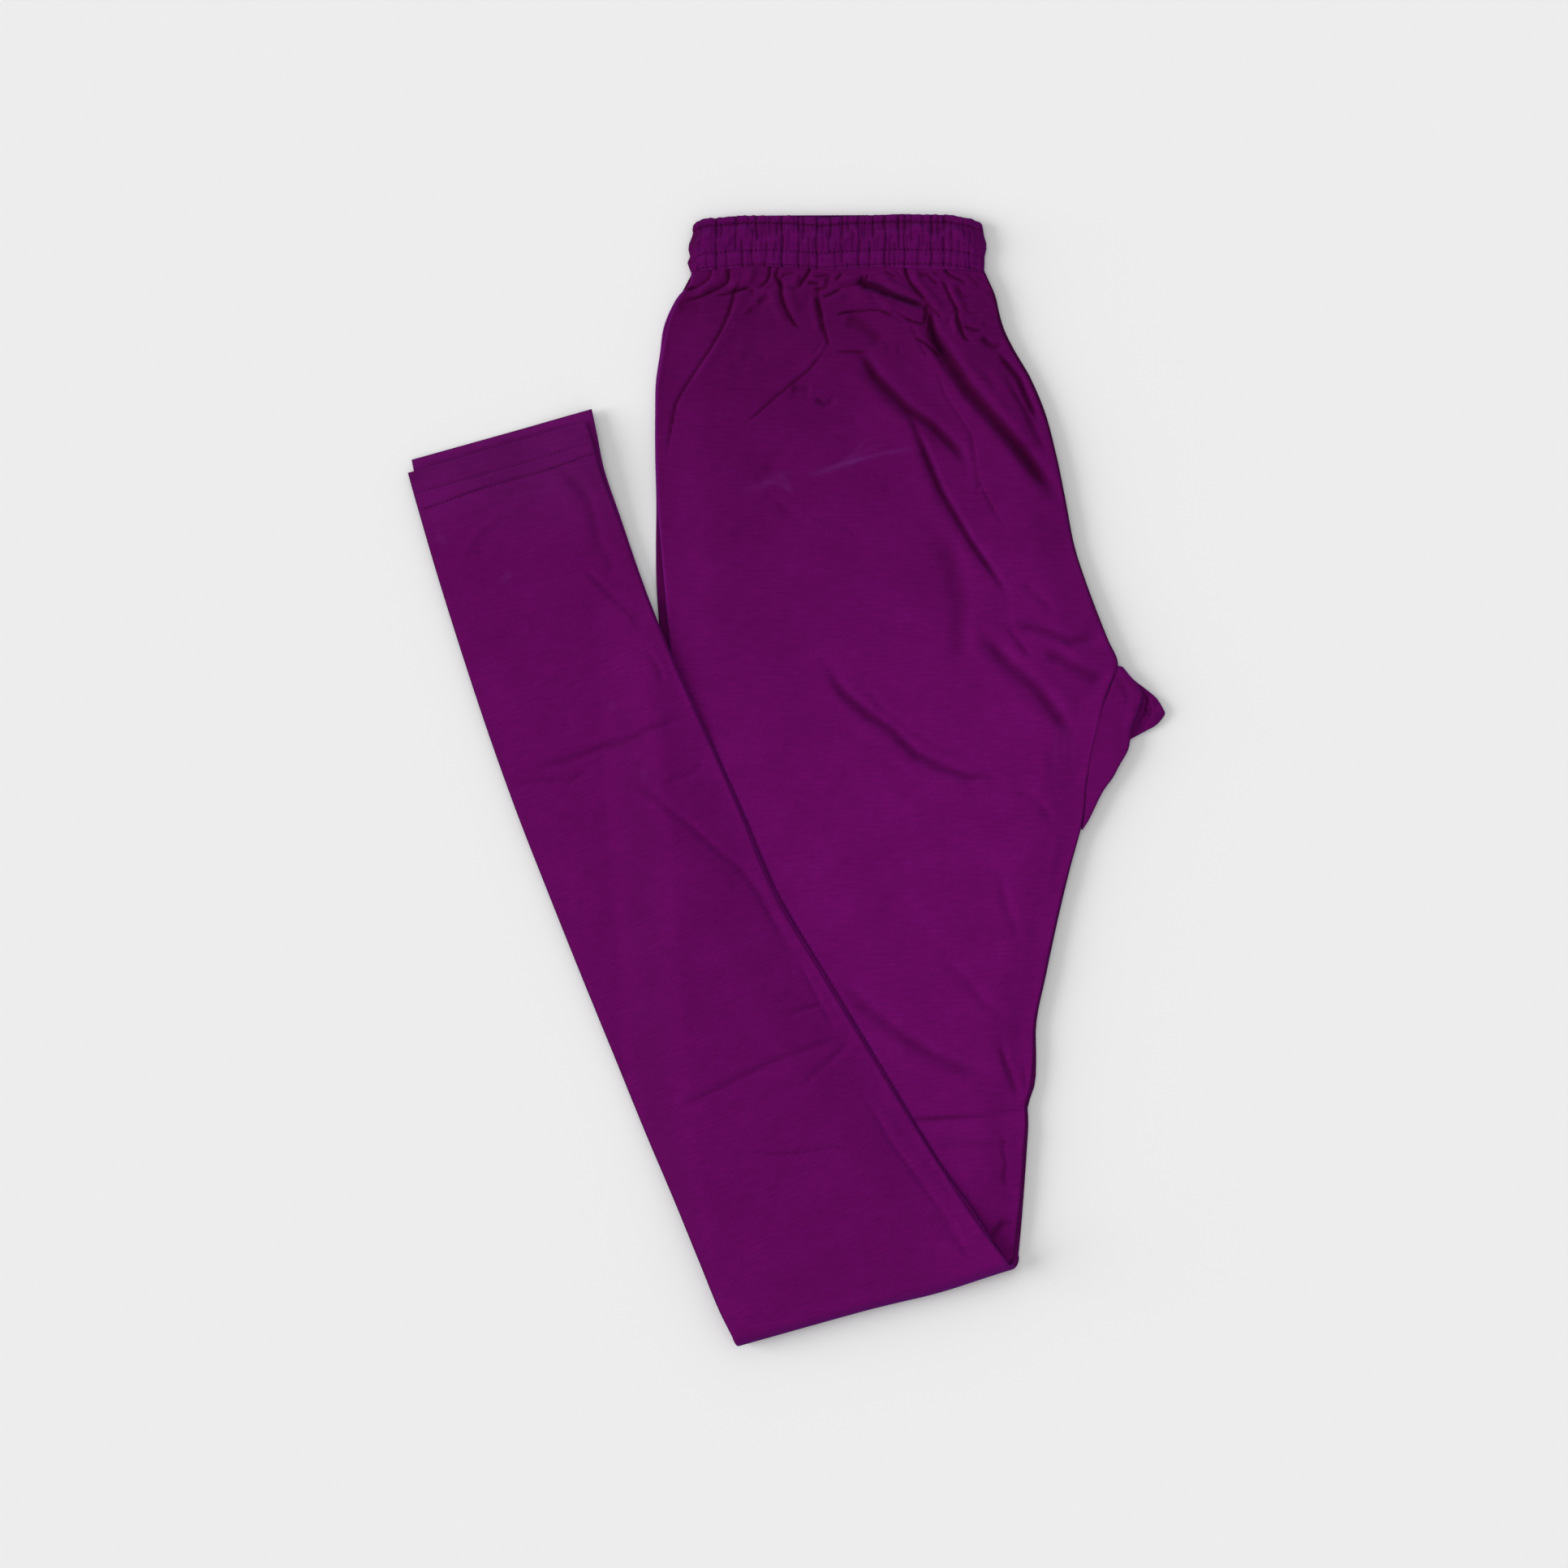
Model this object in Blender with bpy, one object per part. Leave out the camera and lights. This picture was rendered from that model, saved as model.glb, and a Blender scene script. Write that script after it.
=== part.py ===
# Churidar lying flat: its legs are stacked, then turned up at the knee across themselves.
# Metres, +Z up, resting on z = 0, with the waist toward +Y. Sizes below are millimetres.
import bpy
import bmesh
import math
import numpy as np

for old in list(bpy.data.objects):
    bpy.data.objects.remove(old, do_unlink=True)

MM = 0.001

# Layers
PLY = 1.1                  # one wall of cloth
SLIT = 0.4                 # air between the two walls of a leg
LEG_THICK = 2.6            # a leg pressed flat: two walls and the air
SEAM_GAP = 0.3             # between neighbouring pieces
END_POINTS = 3             # points round the edge of a pressed tube
HIDDEN_BACK = 0.7          # hidden walls stop short of the waist seam
UNDER_Z = 0.0              # underside of the under leg's upper half
OVER_Z = 2.9               # underside of the over leg's upper half
OVER_LOWER_Z = 6.2         # underside of the over leg's lower half, loose on the upper one
UNDER_LOWER_Z = 9.6        # underside of the under leg's lower half, loose on the other leg
KNEE_REACH = 6.1           # from the axis of the turn out to the under leg's outside

# Hems
HEM_DEPTH = 19.5
HEM_RAISE = 0.45           # the turned up cloth inside lifts the wall
MOUTH_DEPTH = 24.0         # open tube at the hem

# Drape off the upper halves' left edge to the table
DRAPE_RUN = 36.0

# Gusset
GUSSET_COUNTS = (2, 5)     # strips across its underside and its top

# Waistband
GATHERS = 38
GATHER_POINTS = 4          # columns to each gather
BAND_PUFF = 1.5

# Knee fold line, seen from above
KNEE_LEFT = np.array([-27.0, -299.8])
KNEE_RIGHT = np.array([121.0, -258.2])
KNEE_ALONG = (KNEE_RIGHT - KNEE_LEFT) / np.linalg.norm(KNEE_RIGHT - KNEE_LEFT)
KNEE_OUT = np.array([KNEE_ALONG[1], -KNEE_ALONG[0]])

# Sections of a leg from the waist to the knee: left x, left y, right x, right y, right edge radius
OVER_UPPER = [
    (-50.5, 268.5, 105.0, 267.8, 1.3),
    (-51.4, 263.5, 108.2, 263.0, 1.3),
    (-56.3, 256.5, 111.0, 255.8, 1.3),
    (-61.8, 244.0, 112.6, 243.2, 1.3),
    (-65.9, 221.9, 120.2, 225.5, 1.3),
    (-69.0, 202.5, 131.2, 206.0, 1.3),
    (-69.4, 172.4, 142.3, 174.6, 1.3),
    (-69.0, 146.6, 147.5, 146.6, 1.3),
    (-67.3, 123.0, 153.5, 120.8, 1.3),
    (-65.1, 101.5, 163.0, 92.9, 1.3),
    (-61.9, 73.5, 174.0, 59.4, 0.8),
    (-61.1, 56.3, 170.5, 47.7, 0.5),
    (-60.2, 34.8, 166.6, 37.0, 0.5),
    (-59.3, 17.6, 163.2, 21.9, 0.5),
    (-58.9, 2.6, 159.8, 6.9, 0.5),
    (-58.0, -12.5, 158.5, -6.9, 0.5),
    (-57.2, -34.0, 155.6, -27.5, 0.8),
    (-55.5, -68.4, 146.2, -59.8, 1.3),
    (-53.3, -107.1, 137.6, -102.8, 1.3),
    (-50.7, -145.8, 131.0, -134.2, 1.3),
    (-48.2, -167.3, 130.0, -153.5, 1.3),
    (-45.1, -190.9, 127.0, -172.9, 1.3),
    (-42.6, -210.3, 126.4, -187.9, 1.3),
    (-37.8, -240.4, 124.6, -220.6, 1.3),
    (-31.5, -272.0, 121.6, -239.5, 1.3),
]
UNDER_UPPER = [
    (-50.3, 268.5, 105.2, 267.8, 1.3),
    (-50.9, 263.5, 108.4, 263.0, 1.3),
    (-56.6, 256.5, 111.4, 255.8, 1.3),
    (-64.1, 243.4, 113.9, 243.2, 1.3),
    (-67.9, 219.7, 121.4, 225.5, 1.3),
    (-69.2, 203.8, 132.2, 206.0, 1.3),
    (-68.8, 172.4, 142.5, 174.6, 1.3),
    (-69.2, 146.6, 147.7, 146.6, 1.3),
    (-69.2, 123.0, 153.7, 120.8, 1.3),
    (-68.6, 101.5, 163.1, 92.9, 1.3),
    (-66.4, 73.5, 174.0, 59.4, 0.8),
    (-64.8, 56.3, 170.5, 47.7, 0.5),
    (-63.2, 34.8, 166.6, 37.0, 0.5),
    (-62.0, 17.6, 163.2, 21.9, 0.5),
    (-61.2, 2.6, 159.8, 6.9, 0.5),
    (-60.2, -12.5, 158.5, -6.9, 0.5),
    (-58.6, -34.0, 155.6, -27.5, 0.8),
    (-56.5, -68.4, 146.8, -59.8, 1.3),
    (-54.0, -107.1, 138.4, -102.8, 1.3),
    (-51.2, -145.8, 132.2, -134.2, 1.3),
    (-48.8, -167.3, 131.4, -153.5, 1.3),
    (-45.6, -190.9, 128.4, -172.9, 1.3),
    (-43.0, -210.3, 127.6, -187.9, 1.3),
    (-38.2, -240.4, 125.6, -220.6, 1.3),
    (-31.8, -272.0, 123.2, -239.5, 1.3),
]

# Sections of a leg from the knee to its hem, same columns
UNDER_LOWER = [
    (-37.2, -268.5, 108.6, -240.2, 1.3),
    (-55.2, -227.5, 78.2, -199.7, 1.3),
    (-76.4, -180.2, 39.5, -135.0, 1.3),
    (-99.6, -124.3, 9.2, -78.3, 1.3),
    (-122.1, -66.2, -21.1, -23.2, 1.3),
    (-141.5, -16.8, -43.4, 24.1, 1.3),
    (-160.8, 37.4, -61.9, 71.4, 1.3),
    (-177.6, 91.6, -83.4, 116.5, 1.3),
    (-193.9, 141.0, -99.8, 167.3, 1.3),
    (-200.4, 162.5, -106.0, 189.6, 1.3),
]
OVER_LOWER = [
    (-35.6, -267.0, 105.9, -239.2, 1.3),
    (-53.8, -227.5, 76.9, -200.2, 1.3),
    (-74.9, -180.2, 38.5, -135.6, 1.3),
    (-98.1, -124.3, 8.3, -78.8, 1.3),
    (-120.5, -66.2, -21.7, -23.6, 1.3),
    (-139.9, -16.8, -43.8, 23.6, 1.3),
    (-159.2, 37.4, -62.0, 71.0, 1.3),
    (-176.0, 91.6, -82.4, 115.5, 1.3),
    (-191.6, 141.0, -98.6, 167.0, 1.3),
    (-198.2, 169.0, -101.5, 195.8, 1.3),
]

# Gusset halves: seam x, seam y, outer x, outer y
GUSSET_OVER = [
    (174.9, 57.6, 177.8, 58.0),
    (172.4, 52.4, 184.8, 52.4),
    (170.1, 45.8, 187.4, 45.2),
    (167.0, 37.0, 186.2, 36.1),
    (164.6, 26.2, 182.2, 25.4),
    (162.3, 16.8, 180.0, 15.5),
    (160.2, 6.9, 175.4, 5.6),
    (158.9, -3.9, 168.0, -4.7),
    (158.5, -14.6, 162.2, -15.9),
    (157.9, -20.2, 159.6, -20.6),
]
GUSSET_UNDER = [
    (174.9, 57.6, 177.8, 58.3),
    (172.4, 52.4, 185.3, 53.0),
    (170.1, 45.8, 193.8, 47.0),
    (167.0, 37.0, 200.3, 36.1),
    (164.6, 26.2, 189.4, 25.2),
    (162.3, 16.8, 180.4, 15.2),
    (160.2, 6.9, 175.4, 5.6),
    (158.9, -3.9, 168.0, -4.7),
    (158.5, -14.6, 162.2, -15.9),
    (157.9, -20.2, 159.6, -20.6),
]

# Waistband: its edges from left to right, and the stitch rows that pinch it
BAND_TOP = [(-50.0, 293.0), (-46.0, 296.2), (-25.0, 298.4), (2.0, 298.6), (19.0, 297.2),
            (31.0, 298.3), (59.0, 299.2), (86.0, 299.0), (98.0, 297.0), (104.5, 294.6)]
BAND_BOTTOM = [(-50.7, 268.8), (-32.2, 270.0), (-15.0, 271.6), (2.1, 270.9), (24.9, 269.4),
               (41.3, 270.9), (68.4, 270.4), (92.5, 269.6), (105.3, 268.1)]
# part of the way down, left x, right x, puff, gather depth
BAND_ROWS = [
    (0.00, -49.6, 104.0, 0.15, 0.35),
    (0.15, -49.4, 104.6, 0.05, 0.30),
    (0.29, -51.0, 105.6, 0.90, 0.60),
    (0.44, -51.8, 106.2, 1.00, 0.65),
    (0.66, -51.0, 105.4, 0.05, 0.30),
    (0.80, -52.0, 105.2, 0.60, 0.55),
    (0.95, -50.8, 104.8, 0.05, 0.25),
    (1.00, -50.6, 105.0, 0.15, 0.25),
]

# Folds: points on the way, half width, height (a trough is below nought)
UPPER_FOLDS = [
    ([(69, 233), (82, 226), (95, 211), (108, 194), (123, 179), (136, 162), (147, 151)], 6, -0.6),
    ([(72, 244), (90, 232), (106, 214), (122, 196), (138, 176)], 8, 2.0),
    ([(58, 226), (76, 210), (92, 193), (106, 176), (120, 158)], 7, 1.9),
    ([(36, 227), (48, 218), (65, 198), (82, 185), (95, 168), (101, 155)], 5, -0.6),
    ([(28, 214), (48, 200), (66, 180), (82, 160)], 8, 1.5),
    ([(67, 194), (74, 179), (82, 153), (97, 129), (108, 112), (121, 95)], 5, -0.5),
    ([(92, 158), (104, 136), (118, 116), (132, 96)], 7, 1.2),
    ([(-25, 264), (-30, 248), (-40, 226), (-55, 205), (-61, 185)], 5, -0.5),
    ([(-14, 256), (-21, 232), (-34, 210), (-46, 190)], 8, 1.3),
    ([(-44, 262), (-52, 244), (-60, 222)], 6, 0.9),
    ([(2, 262), (6, 244), (14, 226)], 6, 1.2),
    ([(30, 262), (50, 258), (66, 248)], 5, 1.4),
    ([(84, 262), (94, 250), (100, 236)], 5, 1.4),
    ([(86, 118), (92, 95), (96, 70)], 8, 0.9),
    ([(126, 78), (145, 71), (166, 66)], 6, 1.6),
    ([(104, 76), (119, 61), (138, 43), (152, 28)], 5, -0.4),
    ([(112, 82), (130, 64), (150, 46)], 6, 1.0),
    ([(20, 63), (35, 43), (52, 28), (69, 13), (91, 4), (106, 3), (121, -7)], 6, -0.5),
    ([(34, 32), (52, 14), (72, 0), (96, -8), (120, -20)], 8, 1.3),
    ([(112, -56), (118, -74), (124, -90)], 6, 0.8),
    ([(48, -129), (69, -144), (91, -154), (112, -159)], 6, -0.4),
    ([(66, -152), (88, -164), (114, -170)], 7, 1.0),
]
LOWER_FOLDS = [
    ([(-146, -4), (-132, 3), (-112, 10), (-87, 19), (-64, 28), (-51, 35)], 5, -0.5),
    ([(-142, 8), (-116, 19), (-90, 30), (-62, 42)], 7, 1.2),
    ([(-138, -10), (-112, -2), (-84, 6), (-56, 18)], 7, 1.0),
    ([(-107, 113), (-95, 100), (-82, 87), (-76, 77)], 5, -0.4),
    ([(-112, 106), (-100, 90), (-88, 74)], 7, 1.0),
    ([(-84, 72), (-71, 62), (-66, 51)], 6, 0.8),
    ([(-118, 160), (-107, 150), (-104, 140)], 6, 0.8),
    ([(-64, -17), (-43, -32), (-21, -49), (-8, -71), (2, -92)], 7, 0.9),
    ([(-68, -176), (-43, -165), (-17, -150), (5, -144), (26, -134)], 7, 1.0),
    ([(-20, -195), (-2, -197), (22, -194), (39, -193)], 5, -0.4),
    ([(-16, -204), (10, -206), (40, -202)], 7, 0.8),
    ([(48, -182), (63, -202), (76, -219), (90, -236)], 6, 0.8),
    ([(-12, -280), (20, -268), (60, -256)], 8, 0.7),
]

# The edges that the folds and the drape are measured from: y, x
LOWER_RIGHT_EDGE = [(-257, 121), (-240, 108), (-225, 96), (-210, 87), (-199, 78), (-180, 69),
                    (-161, 56), (-135, 39), (-111, 26), (-78, 9), (-36, -15), (-6, -28),
                    (27, -45), (71, -62), (84, -70), (117, -83), (156, -97), (190, -104)]
UPPER_LEFT_EDGE = [(-299, -28), (-272, -32.3), (-240, -38.7), (-210, -43.5), (-191, -46.1),
                   (-167, -49.3), (-146, -51.7), (-107, -54.5), (-68, -57), (-34, -59.1),
                   (3, -61.7), (35, -63.7), (56, -65.3), (82, -67.9)]
DRAPE_TOP = (-67.9, 82.0)    # the lower half crosses the upper's left edge here


def smoothstep(value):
    t = np.clip(value, 0.0, 1.0)
    return t * t * (3.0 - 2.0 * t)


def across(table, y):
    rows = sorted(table)
    return float(np.interp(y, [r[0] for r in rows], [r[1] for r in rows]))


def fold_height(folds, x, y):
    """Sum of soft ridges and troughs, each faded out at its two ends."""
    height = 0.0
    for points, half_width, size in folds:
        pts = np.array(points, dtype=float)
        steps = pts[1:] - pts[:-1]
        lengths = np.hypot(steps[:, 0], steps[:, 1])
        start = np.concatenate(([0.0], np.cumsum(lengths)))
        rel = np.array([x, y]) - pts[:-1]
        along = np.clip((rel * steps).sum(axis=1) / lengths ** 2, 0.0, 1.0)
        off = rel - steps * along[:, None]
        dist = np.hypot(off[:, 0], off[:, 1])
        k = int(np.argmin(dist))
        if dist[k] > 3.0 * half_width:
            continue
        part = (start[k] + along[k] * lengths[k]) / start[-1]
        fade = smoothstep(min(part, 1.0 - part) / 0.3 + 0.15)
        height += size * fade * math.exp(-(dist[k] / half_width) ** 2)
    return float(height)


def upper_relief(x, y, left, right):
    """Folds of the visible top ply, gone beneath the lower halves and at the edges."""
    clear = smoothstep((x - across(LOWER_RIGHT_EDGE, y) - 1.0) / 9.0)
    if y > 192.0:
        clear = 1.0
    side = smoothstep(min(x - left, right - x) / 6.0)
    waist = smoothstep((268.0 - y) / 6.0)
    return max(-0.45, fold_height(UPPER_FOLDS, x, y)) * clear * side * waist


def lower_relief(x, y, side_gap):
    return max(-0.45, fold_height(LOWER_FOLDS, x, y)) * smoothstep(side_gap / 6.0)


def drape(x, y):
    """How far the lower halves have come down at a point, off the upper halves' left edge."""
    if y <= DRAPE_TOP[1]:
        run = across(UPPER_LEFT_EDGE, y) - x
    else:
        run = math.hypot(x - DRAPE_TOP[0], y - DRAPE_TOP[1])
    return OVER_LOWER_Z * float(smoothstep(run / DRAPE_RUN))


def resample(table, distances):
    """Rows along a table of sections, through a smooth curve by distance."""
    rows = np.array(table, dtype=float)
    middle = (rows[:, 0:2] + rows[:, 2:4]) / 2.0
    steps = np.hypot(*(middle[1:] - middle[:-1]).T)
    place = np.concatenate(([0.0], np.cumsum(steps)))
    slope = np.gradient(rows, place, axis=0)
    result = []
    for d in distances(place[-1]):
        k = int(np.clip(np.searchsorted(place, d, side="right") - 1, 0, len(place) - 2))
        span = place[k + 1] - place[k]
        t = (d - place[k]) / span
        h00 = 2 * t ** 3 - 3 * t ** 2 + 1
        h10 = t ** 3 - 2 * t ** 2 + t
        h01 = -2 * t ** 3 + 3 * t ** 2
        h11 = t ** 3 - t ** 2
        result.append(h00 * rows[k] + h10 * span * slope[k]
                      + h01 * rows[k + 1] + h11 * span * slope[k + 1])
    return result


def spacing(*parts):
    """Distances that grow by the given step until each given part of the way."""
    def distances(total):
        values = [0.0]
        for until, step in parts:
            end = total * until
            count = max(1, round((end - values[-1]) / step))
            first = values[-1]
            values += [first + (end - first) * (i + 1) / count for i in range(count)]
        return values
    return distances


def section_ring(left, right, radii, face_a, face_b, counts):
    """Closed ring: face A from left to right, the right end, face B back, the left end.

    face_a and face_b give a 3D point for a plan position.
    """
    count_a, count_b = counts
    along = (right - left) / np.linalg.norm(right - left)
    lo = left + along * radii[0]
    hi = right - along * radii[1]
    ring = []
    for i in range(count_a + 1):
        ring.append(face_a(lo + (hi - lo) * i / count_a))
    ring += rounded(ring[-1], face_b(hi), along, radii[1])
    for i in range(count_b + 1):
        ring.append(face_b(hi + (lo - hi) * i / count_b))
    ring += rounded(ring[-1], ring[0], -along, radii[0])
    return ring


def rounded(start, end, direction, reach):
    """Half an ellipse between two face points, out to the side."""
    middle = (start + end) / 2.0
    half = (start - end) / 2.0
    out = np.array([direction[0], direction[1], 0.0]) * reach
    angles = [math.pi * i / (END_POINTS + 1) for i in range(1, END_POINTS + 1)]
    return [middle + half * math.cos(a) + out * math.sin(a) for a in angles]


def strip(faces, chain_a, chain_b):
    """Triangles between two chains of vertex numbers that run the same way."""
    i = 0
    j = 0
    while i < len(chain_a) - 1 or j < len(chain_b) - 1:
        part_a = (i + 1) / (len(chain_a) - 1) if i < len(chain_a) - 1 else 2.0
        part_b = (j + 1) / (len(chain_b) - 1) if j < len(chain_b) - 1 else 2.0
        if part_a <= part_b:
            faces.append((chain_a[i], chain_a[i + 1], chain_b[j]))
            i += 1
        else:
            faces.append((chain_a[i], chain_b[j + 1], chain_b[j]))
            j += 1


def loft(rings):
    """Quads between neighbouring rings of one size; returns vertices, faces and that size."""
    size = len(rings[0])
    verts = [tuple(p) for ring in rings for p in ring]
    faces = []
    for r in range(len(rings) - 1):
        for i in range(size):
            k = (i + 1) % size
            faces.append((r * size + i, r * size + k, (r + 1) * size + k, (r + 1) * size + i))
    return verts, faces, size


def chains(base, counts):
    """Vertex numbers of a section ring: face A, right end, face B, left end, joined up."""
    count_a, count_b = counts
    face_a = [base + i for i in range(count_a + 1)]
    right = [face_a[-1] + 1 + i for i in range(END_POINTS)]
    face_b = [right[-1] + 1 + i for i in range(count_b + 1)]
    left = [face_b[-1] + 1 + i for i in range(END_POINTS)]
    return face_a, [face_a[-1]] + right + [face_b[0]], face_b, [face_b[-1]] + left + [face_a[0]]


def end_cap(faces, base, counts):
    """Close a section ring across its two faces and its two rounded ends."""
    face_a, right, face_b, left = chains(base, counts)
    strip(faces, face_a, face_b[::-1])
    faces.append(tuple(right))
    faces.append(tuple(left))


def make_object(name, verts, faces, colour):
    mesh = bpy.data.meshes.new(name)
    mesh.from_pydata([tuple(c * MM for c in v) for v in verts], [], faces)
    bm = bmesh.new()
    bm.from_mesh(mesh)
    bmesh.ops.recalc_face_normals(bm, faces=bm.faces[:])
    bmesh.ops.triangulate(bm, faces=[f for f in bm.faces if len(f.verts) > 4])
    bm.to_mesh(mesh)
    bm.free()
    mesh.polygons.foreach_set("use_smooth", [True] * len(mesh.polygons))
    obj = bpy.data.objects.new(name, mesh)
    bpy.context.scene.collection.objects.link(obj)
    material = bpy.data.materials.new(name + "_cloth")
    material.use_nodes = True
    shader = material.node_tree.nodes["Principled BSDF"]
    shader.inputs["Base Color"].default_value = (colour[0], colour[1], colour[2], 1.0)
    shader.inputs["Roughness"].default_value = 0.9
    shader.inputs["Metallic"].default_value = 0.0
    mesh.materials.append(material)
    return obj


def waist_offset(x, row, first_row):
    """Moves a point near the waist so that the first section follows the band's lower edge."""
    fade = 1.0 - float(smoothstep((first_row[1] - row[1]) / 22.0))
    edge = float(np.interp(x, [p[0] for p in BAND_BOTTOM], [p[1] for p in BAND_BOTTOM])) - SEAM_GAP
    part = (x - first_row[0]) / (first_row[2] - first_row[0])
    straight = first_row[1] + (first_row[3] - first_row[1]) * part
    return fade * (edge - straight)


def leg_rings(upper, lower, upper_z, lower_z, knee_ends, upper_counts, lower_counts,
              upper_spacing, lower_spacing, knee_steps, folds_on):
    """Rings of one leg: down to the knee, round it, and back up to the hem.

    Face A is the outside of the turn at the knee and face B the inside of it.
    """
    axis_left = KNEE_LEFT - KNEE_OUT * KNEE_REACH + KNEE_ALONG * knee_ends[0]
    axis_right = KNEE_RIGHT - KNEE_OUT * KNEE_REACH - KNEE_ALONG * knee_ends[1]
    knee_row = (axis_left[0], axis_left[1], axis_right[0], axis_right[1], 1.3)
    rings = []

    rows = resample(upper + [knee_row], upper_spacing)
    for row in rows[:-1]:
        left = np.array(row[0:2])
        right = np.array(row[2:4])

        def bottom(p, row=row):
            back = HIDDEN_BACK if row is rows[0] else 0.0
            return np.array([p[0], p[1] + waist_offset(p[0], row, rows[0]) - back, upper_z])

        def top(p, row=row):
            lift = 0.0
            back = HIDDEN_BACK if row is rows[0] else 0.0
            if folds_on == "upper":
                lift = upper_relief(p[0], p[1], row[0], row[2])
                back = 0.0
            y = p[1] + waist_offset(p[0], row, rows[0]) - back
            return np.array([p[0], y, upper_z + LEG_THICK + lift])

        rings.append(section_ring(left, right, (1.3, row[4]), bottom, top, upper_counts))

    knee_out = (lower_z + LEG_THICK - upper_z) / 2.0
    knee_in = knee_out - LEG_THICK
    axis_z = upper_z + knee_out
    for step in range(knee_steps + 1):
        angle = math.pi * step / knee_steps
        turn = np.array([KNEE_OUT[0] * math.sin(angle), KNEE_OUT[1] * math.sin(angle), -math.cos(angle)])

        def on_radius(p, radius, turn=turn):
            return np.array([p[0], p[1], axis_z]) + turn * radius

        counts = upper_counts if step == 0 else lower_counts
        rings.append(section_ring(axis_left, axis_right, (1.3, 1.3),
                                  lambda p: on_radius(p, knee_out), lambda p: on_radius(p, knee_in), counts))

    rows = resample([knee_row] + lower, lower_spacing)
    end = rows[-1]
    end_dir = np.array([end[2] - end[0], end[3] - end[1]])
    end_dir /= np.linalg.norm(end_dir)
    to_hem = np.array([-end_dir[1], end_dir[0]])
    for row in rows[1:]:
        left = np.array(row[0:2])
        right = np.array(row[2:4])

        def hem_part(p):
            back = float(np.dot(np.array(end[0:2]) - p, to_hem))
            return float(smoothstep((HEM_DEPTH + 1.2 - back) / 1.4))

        def under(p):
            return lower_z - drape(p[0], p[1])

        def top(p, left=left, right=right):
            lift = HEM_RAISE * hem_part(p)
            if folds_on == "lower":
                gap = min(np.linalg.norm(p - left), np.linalg.norm(right - p))
                lift += lower_relief(p[0], p[1], gap)
            return np.array([p[0], p[1], under(p) + LEG_THICK + lift])

        def bottom(p):
            return np.array([p[0], p[1], under(p)])

        rings.append(section_ring(left, right, (1.3, 1.3), top, bottom, lower_counts))
    return rings, end


def open_mouth(leg, end, base_z):
    """Cut the open end of the leg's tube between its two walls."""
    left = np.array(end[0:2])
    right = np.array(end[2:4])
    along = (right - left) / np.linalg.norm(right - left)
    inward = np.array([along[1], -along[0]])
    width = np.linalg.norm(right - left) - 2.0 * PLY - 1.2
    centre = (left + right) / 2.0 + inward * (MOUTH_DEPTH / 2.0 - 2.0)
    bpy.ops.mesh.primitive_cube_add(size=1.0)
    cutter = bpy.context.object
    cutter.name = leg.name + "_mouth_cutter"
    cutter.location = (centre[0] * MM, centre[1] * MM, (base_z + PLY + SLIT / 2.0) * MM)
    cutter.rotation_euler = (0.0, 0.0, math.atan2(along[1], along[0]))
    cutter.scale = (width * MM, (MOUTH_DEPTH + 4.0) * MM, SLIT * MM)
    cutter.hide_render = True
    cutter.display_type = "WIRE"
    cut = leg.modifiers.new("mouth", "BOOLEAN")
    cut.operation = "DIFFERENCE"
    cut.solver = "EXACT"
    cut.object = cutter


def build_leg(name, colour, **plan):
    """Two lofts, waist to knee and knee to hem, joined where their point counts change."""
    rings, end = leg_rings(**plan)
    upper_counts = plan["upper_counts"]
    lower_counts = plan["lower_counts"]
    split = sum(1 for ring in rings if len(ring) == sum(upper_counts) + 2 + 2 * END_POINTS)
    verts, faces, upper_size = loft(rings[:split])
    more, lower_faces, lower_size = loft(rings[split:])
    base = len(verts)
    verts += more
    faces += [tuple(base + i for i in face) for face in lower_faces]
    above = chains((split - 1) * upper_size, upper_counts)
    below = chains(base, lower_counts)
    for chain_above, chain_below in zip(above, below):
        strip(faces, chain_above, chain_below)
    end_cap(faces, 0, upper_counts)
    end_cap(faces, base + (len(rings) - split - 1) * lower_size, lower_counts)
    return make_object(name, verts, faces, colour), end


def gusset_rings(rows, base_z, left_radius, right_radius, crumple):
    rings = []
    for row in resample(rows, spacing((1.0, 6.5))):
        seam = np.array([row[0] + SEAM_GAP, row[1]])
        outer = np.array(row[2:4])
        width = np.linalg.norm(outer - seam)
        reach = min(right_radius, width * 0.4)

        def bottom(p):
            return np.array([p[0], p[1], base_z])

        def top(p, row=row):
            lift = 0.0
            for x, y, size, radius in crumple:
                lift += size * math.exp(-((p[0] - x) ** 2 + (p[1] - y) ** 2) / radius ** 2)
            return np.array([p[0], p[1], base_z + LEG_THICK + lift])

        rings.append(section_ring(seam, outer, (left_radius, reach), bottom, top, GUSSET_COUNTS))
    return rings


def build_gusset(name, rows, base_z, crumple, colour):
    rings = gusset_rings(rows, base_z, 0.35, 1.3, crumple)
    verts, faces, size = loft(rings)
    end_cap(faces, 0, GUSSET_COUNTS)
    end_cap(faces, (len(rings) - 1) * size, GUSSET_COUNTS)
    return make_object(name, verts, faces, colour)


def gather_wave(part):
    """Gathers across the band, a little uneven, between -1 and 1."""
    warped = part + 0.006 * math.sin(2 * math.pi * 3.1 * part) + 0.004 * math.sin(2 * math.pi * 7.3 * part + 1)
    strength = 0.75 + 0.25 * math.sin(2 * math.pi * 5.3 * part + 2)
    return strength * math.sin(2 * math.pi * GATHERS * warped)


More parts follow.
